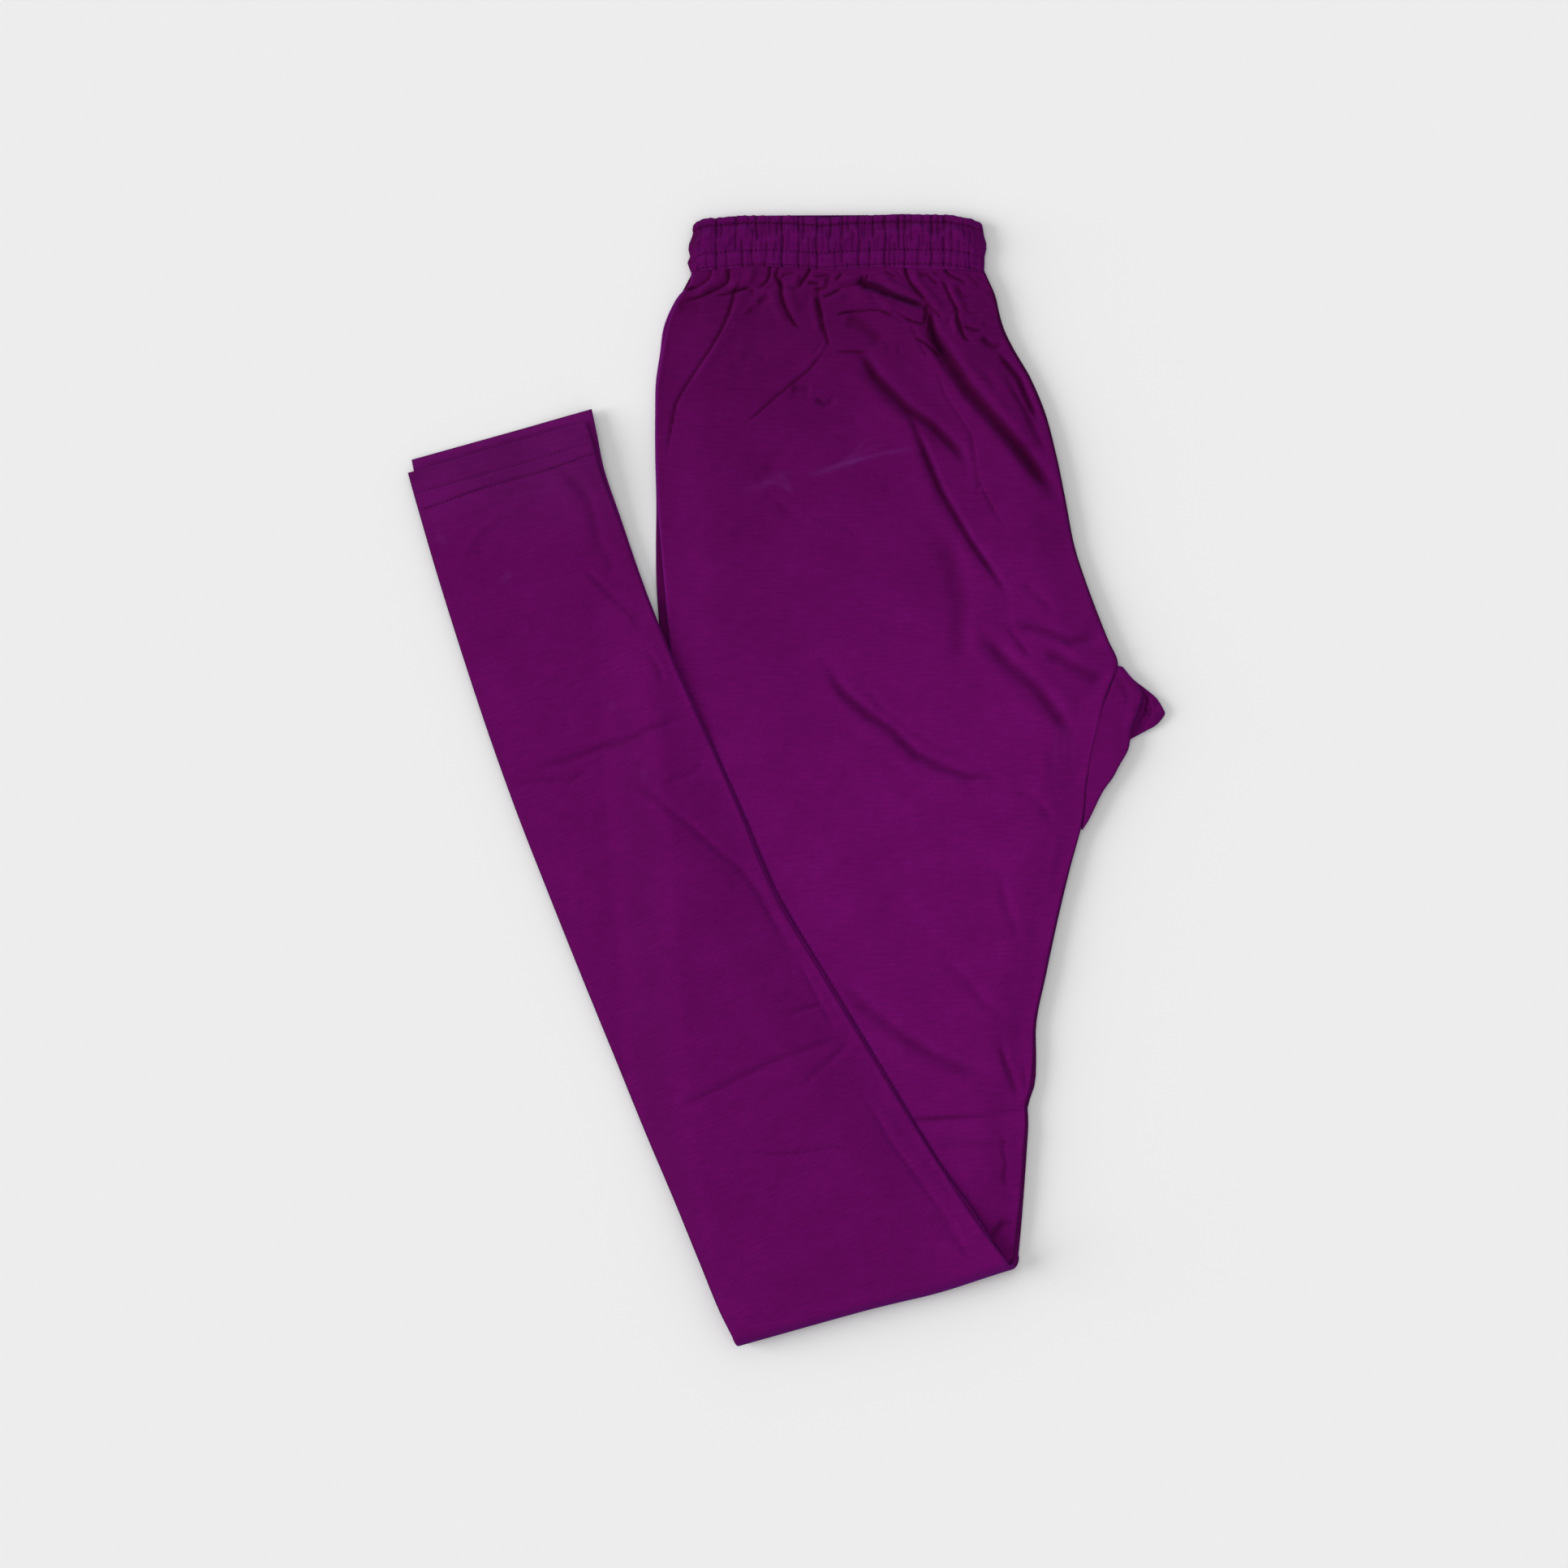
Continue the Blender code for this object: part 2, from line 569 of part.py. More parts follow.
def band_rings():
    """Outer and cavity rings of the band: four walls that turn round at the right."""
    turn_z = (UNDER_Z + OVER_Z + LEG_THICK) / 2.0
    total = OVER_Z + LEG_THICK
    columns = GATHERS * GATHER_POINTS
    few = 8
    outer_rings = []
    cavity_rings = []
    for down, left, right, puff, depth in BAND_ROWS:
        def y_at(x, down=down, back=HIDDEN_BACK):
            top_y = np.interp(x, [p[0] for p in BAND_TOP], [p[1] for p in BAND_TOP])
            low_y = np.interp(x, [p[0] for p in BAND_BOTTOM], [p[1] for p in BAND_BOTTOM])
            if down == 1.0:
                low_y += back
            return float(top_y + (low_y - top_y) * down)

        def line(x0, x1, z, count, skip_first=False):
            pts = []
            for i in range(1 if skip_first else 0, count + 1):
                x = x0 + (x1 - x0) * i / count
                pts.append(np.array([x, y_at(x), z]))
            return pts

        def arc(x, radius, count, top_down):
            pts = []
            for i in range(1, count):
                angle = math.pi / 2 - math.pi * i / count
                if not top_down:
                    angle = -angle
                px = x + radius * math.cos(angle)
                pts.append(np.array([px, y_at(px), turn_z + radius * math.sin(angle)]))
            return pts

        def left_end(x, z0, z1, reach, count=3):
            pts = []
            for i in range(1, count + 1):
                angle = math.pi * i / (count + 1)
                px = x - reach * math.sin(angle)
                z = (z0 + z1) / 2 - (z1 - z0) / 2 * math.cos(angle)
                pts.append(np.array([px, y_at(px), z]))
            return pts

        turn_x = right - total / 2.0
        start_x = left + 1.3
        outer = []
        for i in range(columns + 1):
            part = i / columns
            x = start_x + (turn_x - start_x) * part
            side = float(smoothstep(min(part, 1.0 - part) / 0.03))
            z = total + (puff * BAND_PUFF + depth * gather_wave(part)) * side
            outer.append(np.array([x, y_at(x, back=0.0), z]))
        outer += arc(turn_x, total / 2.0, 8, True)
        outer += line(turn_x, start_x, UNDER_Z, few)
        outer += left_end(start_x, UNDER_Z, LEG_THICK, 1.3)
        outer += line(start_x, turn_x, LEG_THICK, few)
        outer += arc(turn_x, SEAM_GAP / 2.0, 4, False)
        outer += line(turn_x, start_x, OVER_Z, few)
        outer += left_end(start_x, OVER_Z, total, 1.3)
        outer_rings.append(outer)

        cavity = line(start_x, turn_x, total - PLY, few)
        cavity += arc(turn_x, total / 2.0 - PLY, 8, True)
        cavity += line(turn_x, start_x, PLY, few)
        cavity += left_end(start_x, PLY, PLY + SLIT, 0.2)
        cavity += line(start_x, turn_x, PLY + SLIT, few)
        cavity += arc(turn_x, total / 2.0 - PLY - SLIT, 4, False)
        cavity += line(turn_x, start_x, total - PLY - SLIT, few)
        cavity += left_end(start_x, total - PLY - SLIT, total - PLY, 0.2)
        cavity_rings.append(cavity)
    # how many points of each stretch there are, outside and in the cavity
    outside = [columns + 1, 7, few + 1, 3, few + 1, 3, few + 1, 3]
    inside = [few + 1, 7, few + 1, 3, few + 1, 3, few + 1, 3]
    return outer_rings, cavity_rings, outside, inside


def build_band(name, colour):
    outer_rings, cavity_rings, outside, inside = band_rings()
    verts, faces, size = loft(outer_rings)
    more, cavity_faces, cavity_size = loft(cavity_rings)
    base = len(verts)
    verts += more
    faces += [tuple(base + i for i in face) for face in cavity_faces]
    for ring in (0, len(outer_rings) - 1):
        out_start = ring * size
        in_start = base + ring * cavity_size
        at_out = 0
        at_in = 0
        for n_out, n_in in zip(outside, inside):
            chain_out = [out_start + (at_out + i) % size for i in range(n_out + 1)]
            chain_in = [in_start + (at_in + i) % cavity_size for i in range(n_in + 1)]
            strip(faces, chain_out, chain_in)
            at_out += n_out
            at_in += n_in
    return make_object(name, verts, faces, colour)


CLOTH = (0.105, 0.0035, 0.088)

leg_over, over_end = build_leg(
    "leg_over", CLOTH, upper=OVER_UPPER, lower=OVER_LOWER, upper_z=OVER_Z, lower_z=OVER_LOWER_Z,
    knee_ends=(1.5, 1.5), upper_counts=(5, 20), lower_counts=(11, 11),
    upper_spacing=spacing((0.36, 8.0), (0.56, 6.5), (0.8, 10.0), (1.0, 16.0)),
    lower_spacing=spacing((0.92, 20.0), (1.0, 7.0)), knee_steps=6, folds_on="upper")
open_mouth(leg_over, over_end, OVER_LOWER_Z - OVER_LOWER_Z)

leg_under, under_end = build_leg(
    "leg_under", CLOTH, upper=UNDER_UPPER, lower=UNDER_LOWER, upper_z=UNDER_Z, lower_z=UNDER_LOWER_Z,
    knee_ends=(0.0, 0.0), upper_counts=(4, 4), lower_counts=(14, 10),
    upper_spacing=spacing((0.25, 12.0), (0.36, 20.0), (0.56, 6.5), (1.0, 24.0)),
    lower_spacing=spacing((0.93, 9.5), (1.0, 4.5)), knee_steps=8, folds_on="lower")
open_mouth(leg_under, under_end, UNDER_LOWER_Z - OVER_LOWER_Z)

# x, y, height and reach of each soft lump
build_gusset("gusset_over", GUSSET_OVER, OVER_Z, [(176, 40, 0.9, 7), (170, 12, 0.5, 8)], CLOTH)
build_gusset("gusset_under", GUSSET_UNDER, UNDER_Z, [(194.5, 41, 1.6, 4), (193.5, 31, 1.1, 3.5)], CLOTH)

build_band("waistband", (0.085, 0.003, 0.07))
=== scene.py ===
# Churidar lying flat, its legs stacked and then turned up at the knee, seen from straight above.
# Numbers are millimetres until they go into a mesh. The waist is toward +Y, the gusset toward +X.
import math
import bpy
import bmesh
import numpy as np
from mathutils import Euler, Matrix


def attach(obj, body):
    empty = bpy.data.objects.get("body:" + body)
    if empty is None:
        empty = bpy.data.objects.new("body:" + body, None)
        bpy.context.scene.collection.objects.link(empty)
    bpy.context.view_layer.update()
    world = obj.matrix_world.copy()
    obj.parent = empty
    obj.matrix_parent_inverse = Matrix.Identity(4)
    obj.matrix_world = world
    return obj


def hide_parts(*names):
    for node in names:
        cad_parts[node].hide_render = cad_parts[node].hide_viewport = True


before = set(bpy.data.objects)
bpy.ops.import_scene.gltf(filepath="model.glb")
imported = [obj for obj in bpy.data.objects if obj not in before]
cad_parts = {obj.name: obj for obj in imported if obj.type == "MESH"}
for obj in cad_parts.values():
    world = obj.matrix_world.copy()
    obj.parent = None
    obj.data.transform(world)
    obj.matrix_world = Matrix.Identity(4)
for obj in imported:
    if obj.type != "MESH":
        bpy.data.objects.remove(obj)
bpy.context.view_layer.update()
scene = bpy.context.scene
print("frame loaded", len(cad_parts), "nodes")

mm = 0.001
clothWall = 0.6      # jersey with its nap
deepWall = 0.65      # where two walls lie pressed together, the part of the thickness above the inside
legThick = 2.6       # a leg pressed flat
edgeRound = 1.3      # radius of its folded edges
upperLoft = 2.0      # air under the top ply of the body
lowerLoft = 0.7
waistLoft = 1.0
stitchPitch = 2.3
underZ = 0.0         # the underside of each half of the two legs, from the table up
overZ = 2.9
overLowerZ = 6.2
underLowerZ = 9.6
topPlyFrom = 3.9     # what is higher than this is on the top ply of the body, or above it
underPlyTo = 3.0     # what is lower than this is on the ply beneath
pastBody = -76.0     # to the left of this only the lower legs lie
# how far the inside of a leg's wall lies in from its outside, where it isn't deepWall
innerWall = {"upperBottom": 0.3, "kneeOuter": 0.5, "kneeInner": 1.6, "lowerTop": 1.6, "lowerBottom": 0.4}

# the fold line at the knee, and the turn round it
knee = {
    "left": np.array([-27.0, -299.8]),
    "right": np.array([123.6, -257.5]),
    "reach": 6.1,
    "tuck": 7.5,        # the flap's right corner has slipped in by this much
    "leftTuck": 0.7,
    "bow": 1.5,         # the fold bulges by this much, this far from its left end
    "bowAt": 112.0,
    "bowWide": 26.0,
}
knee["along"] = (knee["right"] - knee["left"]) / np.linalg.norm(knee["right"] - knee["left"])
knee["out"] = np.array([knee["along"][1], -knee["along"][0]])

# stitch rows of the front hem, and how far its turned up cloth stands proud
hem = {
    "raise": 0.5,
    "pressed": 34.0,    # the legs lie flatter over this last stretch
    "stitch": (1.3, 1.0, 0.38),     # length, gap, thickness
    "rows": [
        [(-198.6, 151.0), (-190, 153.6), (-180.6, 156.1), (-167, 159.8), (-154.4, 163.4), (-143, 166.4),
         (-131.2, 169.9), (-118, 173.9), (-104.0, 178.2)],
        [(-195.6, 142.3), (-186, 145.3), (-177.6, 148.4), (-166, 152.6), (-156.1, 155.8), (-141, 160),
         (-128.1, 163.4), (-111.8, 169.0), (-99.6, 173.4)],
    ],
}

# Upper halves: left x of the over and the under leg, left y, right x of each, right y, right edge radius
upperRows = [
    (-50.3, -50.5, 268.8, 105.2, 105.2, 268.0, 1.3), (-51.2, -51.6, 262.7, 108.0, 108.3, 262.0, 1.3),
    (-56.0, -57.2, 256.5, 110.4, 110.8, 256.0, 1.3), (-60.0, -61.5, 249.0, 112.0, 112.5, 248.5, 1.3),
    (-63.0, -65.0, 240.0, 114.0, 115.0, 239.6, 1.3), (-65.8, -67.0, 226.0, 119.4, 120.6, 228.0, 1.3),
    (-68.2, -69.2, 211.0, 127.6, 128.8, 214.0, 1.3), (-69.2, -69.6, 196.0, 135.2, 136.2, 197.0, 1.3),
    (-69.2, -69.6, 172.4, 142.4, 142.8, 173.0, 1.3), (-68.2, -69.0, 146.6, 147.4, 147.8, 149.0, 1.3),
    (-66.3, -69.2, 123.0, 152.6, 153.0, 122.5, 1.3), (-64.4, -68.8, 101.5, 161.0, 161.4, 97.5, 1.3),
    (-62.6, -67.2, 80.0, 170.4, 170.6, 73.8, 1.2), (-61.6, -66.2, 68.0, 175.4, 175.4, 61.6, 0.8),
    (-61.1, -65.2, 56.3, 171.8, 171.8, 51.0, 0.5), (-60.5, -64.0, 42.0, 168.0, 168.0, 40.0, 0.5),
    (-59.8, -62.8, 26.0, 164.6, 164.6, 26.6, 0.5), (-59.1, -61.6, 10.0, 161.2, 161.2, 12.0, 0.5),
    (-58.4, -60.7, -4.0, 158.9, 158.9, -2.0, 0.5), (-57.8, -59.8, -18.0, 157.9, 157.9, -14.0, 0.5),
    (-57.4, -58.9, -29.0, 156.2, 156.2, -24.2, 0.5), (-57.0, -58.4, -40.0, 153.6, 153.6, -34.0, 1.0),
    (-55.5, -56.5, -68.4, 146.2, 146.8, -61.0, 1.3), (-53.3, -54.0, -107.1, 137.0, 137.6, -103.0, 1.3),
    (-51.4, -51.9, -135.0, 131.4, 132.2, -131.0, 1.3), (-49.8, -50.3, -152.0, 131.0, 132.3, -147.0, 1.3),
    (-48.0, -48.6, -168.5, 129.6, 131.4, -162.0, 1.3), (-46.6, -47.2, -180.0, 126.8, 127.9, -172.5, 1.3),
    (-45.1, -45.6, -192.0, 127.2, 128.2, -181.0, 1.3), (-42.6, -43.0, -210.3, 126.2, 127.4, -195.0, 1.3),
    (-37.8, -38.2, -240.4, 124.2, 125.6, -221.0, 1.3), (-31.5, -31.8, -272.0, 121.9, 123.9, -241.5, 1.3),
]


def upperHalf(leftColumn, rightColumn):
    return [(row[leftColumn], row[2], row[rightColumn], row[5], row[6]) for row in upperRows]


# Lower halves: left x, left y, right x, right y. press and hemPress are how far the top and the bottom
# of the leg come down along its right edge and at its hem. The rows of its mesh are given as part of
# the way and step, and knee and edge are counts
overLeg = {
    "upper": upperHalf(0, 3),
    "lower": [
        (-32.6, -281.0, 105.4, -238.0), (-44.8, -252.5, 81.0, -203.4), (-58.0, -220.5, 62.6, -173.2),
        (-71.9, -188.3, 45.4, -144.6), (-89.6, -145.2, 19.4, -101.4), (-107.2, -102.2, -5.7, -59.4),
        (-124.4, -59.2, -23.5, -17.2), (-141.2, -16.2, -42.1, 24.4), (-156.6, 26.8, -59.9, 64.4),
        (-170.8, 69.8, -75.0, 102.0), (-184.2, 112.6, -88.0, 139.8), (-192.6, 141.4, -97.2, 167.6),
        (-195.8, 155.6, -100.0, 182.0), (-198.6, 169.6, -103.0, 196.3),
    ],
    "upperZ": overZ, "lowerZ": overLowerZ, "press": (1.3, 0.35), "hemPress": (0.3, 0.0),
    "kneeEnds": (1.5, 1.5),     # each end of its knee lies in from the fold line by this much
    "mesh": {"upper": ((0.08, 0.7), (0.3, 1.1), (0.5, 1.6), (0.95, 2.4), (1.0, 2.4)),
             "lower": ((0.9, 14.0), (1.0, 1.5)), "knee": 12, "edge": 6},
}
underLeg = {
    "upper": upperHalf(1, 4),
    "lower": [
        (-34.2, -283.0, 104.2, -238.6), (-46.6, -253.3, 80.8, -203.8), (-59.9, -221.0, 61.9, -174.0),
        (-73.7, -188.8, 44.4, -145.2), (-91.3, -145.8, 18.0, -102.0), (-108.9, -102.8, -7.0, -59.8),
        (-126.1, -59.8, -24.5, -17.6), (-142.9, -16.8, -42.9, 24.0), (-158.3, 26.2, -60.7, 64.0),
        (-172.5, 69.2, -75.8, 101.4), (-185.9, 112.2, -89.2, 138.8), (-194.3, 141.0, -99.2, 166.4),
        (-197.4, 151.8, -102.2, 178.4), (-200.4, 162.5, -106.0, 189.6),
    ],
    "upperZ": underZ, "lowerZ": underLowerZ, "press": (3.5, 2.0), "hemPress": (1.9, 0.6),
    "kneeEnds": (0.0, -1.0),
    "mesh": {"upper": ((0.3, 3.0), (1.0, 6.0)),
             "lower": ((0.05, 1.3), (0.93, 1.35), (1.0, 0.7)), "knee": 20, "edge": 6},
}
insideMesh = {"upper": ((1.0, 12.0),), "lower": ((1.0, 12.0),), "knee": 8, "edge": 2}

# How the lower halves come down off the upper halves' left edge
flap = {
    # the edge that the drape is measured from: y, x
    "carriedBy": [(-299, -28), (-272, -32.3), (-240, -38.7), (-210, -43.5), (-191, -46.1), (-167, -49.3),
                  (-146, -51.7), (-107, -54.5), (-68, -57), (-34, -59.1), (3, -61.7), (35, -63.7),
                  (56, -65.3), (82, -67.9)],
    "leaves": (-67.9, 82.0),    # where the flap's right edge leaves the body
    "run": 36.0,
    "lift": 0.45,               # beyond the body the right edge stays up by this share of the drop
    "liftWide": 42.0,
    "liftStart": 30.0,
    "kneeCorner": (-253.4, 115.7),      # y, x
    "clearFrom": 120.0,         # above this y the flap is off the body
}

# Creases of the body and thigh: points, half width, height, and the steep side (1 left, -1 right, 0 none)
waistFolds = [
    ([(-55, 260.3), (-51, 259.7), (-48, 260.2), (-45, 261.8), (-42, 264), (-40, 266.5), (-39, 274)],
     0.76, -0.8, 0),
    ([(-55, 260.2), (-51, 259.7), (-47, 260.6)], 0.92, -0.8, 0),
    ([(-47, 258), (-42, 261), (-38.5, 264.5), (-37, 272)], 2.0, 0.7, 0),
    ([(-56, 252.5), (-50, 254.3), (-45, 255.5), (-40, 257.8), (-36, 259.7), (-33, 261.4), (-31, 263.2),
      (-30.2, 266), (-30.3, 275)], 0.8, -1.0, 0),
    ([(-50, 257), (-43, 259.2), (-37, 262.5), (-33.5, 267), (-33, 275)], 1.8, 0.6, 0),
    ([(-57, 250), (-50, 250), (-44, 249)], 3.0, -0.4, 0),
    ([(-38, 255.7), (-32, 256.8), (-28, 257.8), (-24, 259.2), (-18, 260.3)], 0.84, -1.0, 0),
    ([(-28, 257.8), (-24, 259.2), (-19, 260.2)], 0.84, -0.7, 0),
    ([(-31, 260.5), (-26, 262.5), (-20, 264), (-17, 272)], 2.2, 0.8, 0),
    ([(-15.5, 259.8), (-12, 261.8), (-10, 263.8), (-8.8, 266.5), (-8.2, 275)], 0.7, -1.0, 0),
    ([(-19.4, 258.6), (-16.6, 258.3)], 1.09, -0.7, 0),
    ([(-10.5, 260.6), (-6.5, 260.6)], 1.01, -0.5, 0),
    ([(-15, 252.6), (-11, 254.2), (-8, 256.5)], 2.0, -0.5, 0),
    ([(-25, 245), (-18, 251), (-12, 256.5)], 1.6, 0.5, 0),
    ([(-20, 248.4), (-12, 247.5)], 1.6, -0.35, 0),
    ([(-23.4, 272), (-23.8, 266), (-25.5, 261), (-27.8, 258), (-28.1, 254), (-29.5, 250), (-31, 245),
      (-33.5, 239.5), (-37, 233), (-40, 228), (-45.9, 219.5), (-55.5, 204.7), (-58.7, 198.2), (-61.9, 181),
      (-64.1, 166)], 0.71, -1.0, 0),
    ([(-22, 262), (-25, 252), (-29, 243), (-35, 232), (-43, 220), (-52, 206)], 3.6, 0.7, -1),
    ([(-28.5, 242), (-31, 238), (-35, 232)], 1.6, -0.25, 0),
    ([(-3.8, 274), (-4.6, 268.5), (-5.8, 267), (-4.5, 264.8), (-3.2, 263), (-2.4, 260), (-2.6, 257),
      (-1.5, 252.5), (0.3, 248.5), (2.3, 244.8), (4.6, 240.8), (9.4, 236.8)], 0.84, -1.2, 0),
    ([(-4, 265), (-3, 263), (-2.4, 260)], 0.92, -0.7, 0),
    ([(-3.4, 265), (-1, 267), (1.5, 267.8), (5, 268)], 0.7, -0.7, 0),
    ([(-7.5, 262), (-7, 255), (-4, 247), (0, 240)], 2.4, 0.6, 0),
    ([(1, 264.5), (1.5, 259), (3, 253), (6, 246)], 2.6, 0.7, 0),
    ([(14, 273), (12.3, 269.5), (10.5, 266), (8, 262.5), (6.2, 259.2)], 0.7, -1.1, 0),
    ([(0, 260.2), (3, 259.8), (6.4, 259.4)], 0.76, -0.45, 0),
    ([(6, 267.5), (5, 264), (3, 262)], 1.6, 0.7, 0),
    ([(10.5, 257.5), (12.5, 253)], 0.7, -0.4, 0),
    ([(11.4, 263.2), (14, 262.7), (18, 262.5)], 0.84, -1.2, 0),
    ([(14.5, 266.3), (19, 266.6), (22.6, 267.4)], 0.7, -0.9, 0),
    ([(12, 265), (17, 264.9), (21, 264)], 0.76, 0.6, 0),
    ([(14.6, 259.8), (17.5, 259.7), (21, 260.4)], 0.7, -0.9, 0),
    ([(16.2, 259.8), (17.4, 257)], 0.76, -0.8, 0),
    ([(16, 256.8), (16.6, 254.5), (17.3, 251), (18.3, 247), (19, 243)], 0.88, -1.3, 0),
    ([(18.6, 245), (19.5, 240), (20.8, 236), (21.8, 232), (22.2, 228.5)], 0.76, -0.95, 0),
    ([(13.4, 256), (14.2, 250), (15.6, 243), (17.4, 236)], 1.8, 0.8, 0),
    ([(21.2, 258.5), (21.5, 262), (22.2, 265.4), (24, 268)], 0.7, -0.7, 0),
    ([(19.2, 255.4), (22.5, 256.3), (25.5, 257.8), (29.4, 259.8)], 0.76, -1.2, 0),
    ([(20, 253), (25, 254.2), (31, 256)], 2.0, 0.6, 0),
    ([(25.8, 264.6), (27.4, 265.4), (29.6, 268)], 0.7, -1.0, 0),
    ([(27.6, 261.2), (33, 261.3), (38.6, 262.4)], 1.01, -0.55, 0),
    ([(29, 264), (34, 265), (38, 265.4)], 0.84, 0.6, 0),
    ([(38.6, 261.6), (39.4, 263.2), (40.6, 267)], 0.7, -1.1, 0),
    ([(41.4, 263.6), (43.2, 267)], 0.7, -1.0, 0),
    ([(36, 263.2), (42, 262.6), (46, 261.7), (50, 260.2), (55, 257.4), (60, 255.2), (65, 253.4),
      (70, 251.6), (76, 249.6)], 1.5, -2.4, 0),
    ([(39.5, 261.6), (45, 260.4), (50, 259), (56, 256)], 1.5, -1.6, 0),
    ([(48, 266.4), (52, 265.2), (57, 262.2), (63, 259.4), (69, 257.2)], 1.09, 1.0, 0),
    ([(34, 257), (42, 256.4), (50, 253.4), (58, 250.2)], 2.6, 0.8, 0),
    ([(44, 257), (48, 251.4), (52, 249.8)], 1.5, -0.35, 0),
    ([(26, 245.8), (30, 246.8), (35, 247.6), (40, 248), (45, 248.5), (50, 248), (53, 247), (58, 245.6)],
     0.7, -1.0, 0),
    ([(27, 246), (31, 246.9), (36, 247.7)], 0.7, -0.5, 0),
    ([(50, 247.6), (55, 245.4), (60, 242.9), (63.6, 240.4)], 0.7, -0.5, 0),
    ([(56, 248.4), (60, 246.5), (63.4, 243.8)], 0.7, -0.5, 0),
    ([(62.4, 244.9), (65, 242.9), (68, 242), (71, 241.2), (73.6, 240.8)], 0.76, -1.2, 0),
    ([(73, 240), (73.5, 245), (74.3, 248), (74.7, 252)], 0.7, -0.9, 0),
    ([(73, 247.4), (74.4, 251.4)], 0.92, -0.7, 0),
    ([(31, 243.6), (38, 242), (44, 238.4), (52, 230)], 4.2, -0.9, 0),
    ([(51.4, 232), (54.5, 227.4)], 1.01, -0.4, 0),
    ([(59, 230), (60, 224)], 0.7, -0.45, 0),
    ([(62.6, 275), (63.4, 268.4), (64.2, 266), (66, 262.5), (69, 259), (72, 255.5), (74.5, 252)],
     0.84, -1.3, 0),
    ([(73.6, 253), (77, 249.3), (79.5, 246.5), (82.4, 243.4)], 0.7, -0.9, 0),
    ([(67.4, 272), (69, 265), (73, 260), (78, 254), (83, 248)], 1.9, 0.8, 0),
    ([(51.6, 269), (55, 267.5), (58.6, 265.6)], 0.7, -0.8, 0),
    ([(57.4, 269.4), (61, 266), (64, 263)], 0.7, -0.5, 0),
    ([(70, 267.2), (75, 266.8), (77, 264.6), (79, 262.8), (81, 261)], 0.7, -0.85, 0),
    ([(77.4, 268.4), (81.4, 266.8)], 0.7, -0.7, 0),
    ([(83, 275), (84.6, 268.8), (86, 267.4), (88, 266.2), (91, 264.8), (93.5, 263.5), (96, 261.6)],
     0.7, -1.0, 0),
    ([(80.6, 263.4), (83.4, 263), (84.4, 260.6), (86.8, 255), (89, 251), (90.5, 248.5), (92, 246.2)],
     0.71, -1.1, 0),
    ([(86.6, 262), (90.4, 254), (94, 248)], 1.8, 0.7, 0),
    ([(89.6, 250.6), (90.5, 245), (91.5, 241), (93, 236.5), (94.5, 233.5), (98, 231)], 0.8, -1.15, 0),
    ([(87, 247), (88, 241), (90, 235)], 1.9, 0.7, -1),
    ([(89, 249.4), (87, 245), (85, 240.6)], 0.76, -0.5, 0),
    ([(93.4, 240), (97, 238.8), (100, 237.6), (104, 237.8)], 0.76, -0.85, 0),
    ([(96, 242.5), (100, 241.4), (105, 241)], 1.5, 0.5, 0),
    ([(103.4, 234.2), (107, 231), (110, 229.6), (114.6, 229.2)], 1.7, -0.95, 0),
    ([(90, 262.4), (92, 258), (94, 255.4), (98.6, 255.6)], 0.76, -0.5, 0),
    ([(95.4, 268), (99, 264.5), (103, 260.6)], 0.76, -0.5, 0),
    ([(94.4, 248.6), (98, 246.8), (101, 246.5), (105, 248.2)], 0.92, -0.4, 0),
    ([(106, 259), (109, 256), (111, 251.4)], 0.92, -0.5, 0),
    ([(75.6, 249.6), (76.6, 243.6), (77.4, 238.6), (79, 233), (81.5, 228.5), (85, 223.6)], 1.7, -1.3, 0),
    ([(65.6, 240.6), (67.5, 237), (68.8, 234.6)], 0.7, -0.5, 0),
    ([(67.8, 235.2), (69.5, 233), (72, 231.5), (75, 229.5), (78, 227), (82, 222.6)], 0.8, -1.1, 0),
    ([(70.2, 231), (72, 227), (75, 223)], 0.7, -0.6, 0),
    ([(26, 226.2), (33, 226.3), (38, 226.2), (43, 226.8)], 0.92, -0.8, 0),
    ([(18.8, 232.4), (16.5, 228), (13.6, 224.4)], 0.7, -0.5, 0),
    ([(108, 262), (104, 264.6), (101, 266.4)], 0.76, -0.5, 0),
    ([(73.5, 246.5), (77.8, 236.9), (84.3, 226.2), (97.2, 206.8), (112.2, 189.6), (125.1, 174.6),
      (135.9, 159.5), (146.6, 146.6)], 3.4, -1.7, 0),
    ([(68, 240), (74, 229), (82, 216), (94, 200), (108, 184), (121, 169), (132, 155)], 5.0, 1.05, 1),
    ([(82, 240), (90, 226), (103, 208), (118, 192), (132, 176)], 5.5, 0.91, 0),
    ([(34.8, 226.2), (42, 223), (47.7, 213.3), (64.9, 196.1), (77.8, 187.5), (90.7, 174.6), (97, 163)],
     2.7, -1.5, 0),
    ([(32, 220), (42, 209), (58, 193), (70, 183), (84, 170)], 4.6, 0.91, 1),
    ([(44, 229), (56, 216), (70, 202), (84, 190)], 5.0, 0.63, 0),
    ([(64.9, 193.9), (71.4, 178.9), (82.1, 153.1), (97.2, 127.3), (112.2, 105.8), (119, 96)], 1.7, -1.2, 0),
    ([(62, 186), (68, 172), (78, 148), (92, 124), (106, 104)], 4.5, 0.63, 1),
    ([(75.7, 224), (84.3, 202.5), (97.2, 183.2), (101.5, 157.4), (112.2, 138), (121, 127)], 0.76, -0.55, 0),
    ([(101.5, 157.4), (100, 150)], 0.76, -0.4, 0),
    ([(112.2, 226.2), (123, 213.3), (129.4, 198.2), (133.7, 189.6)], 1.4, -1.1, 0),
    ([(108, 218), (117, 208), (124, 195), (129, 184)], 3.4, 0.63, 0),
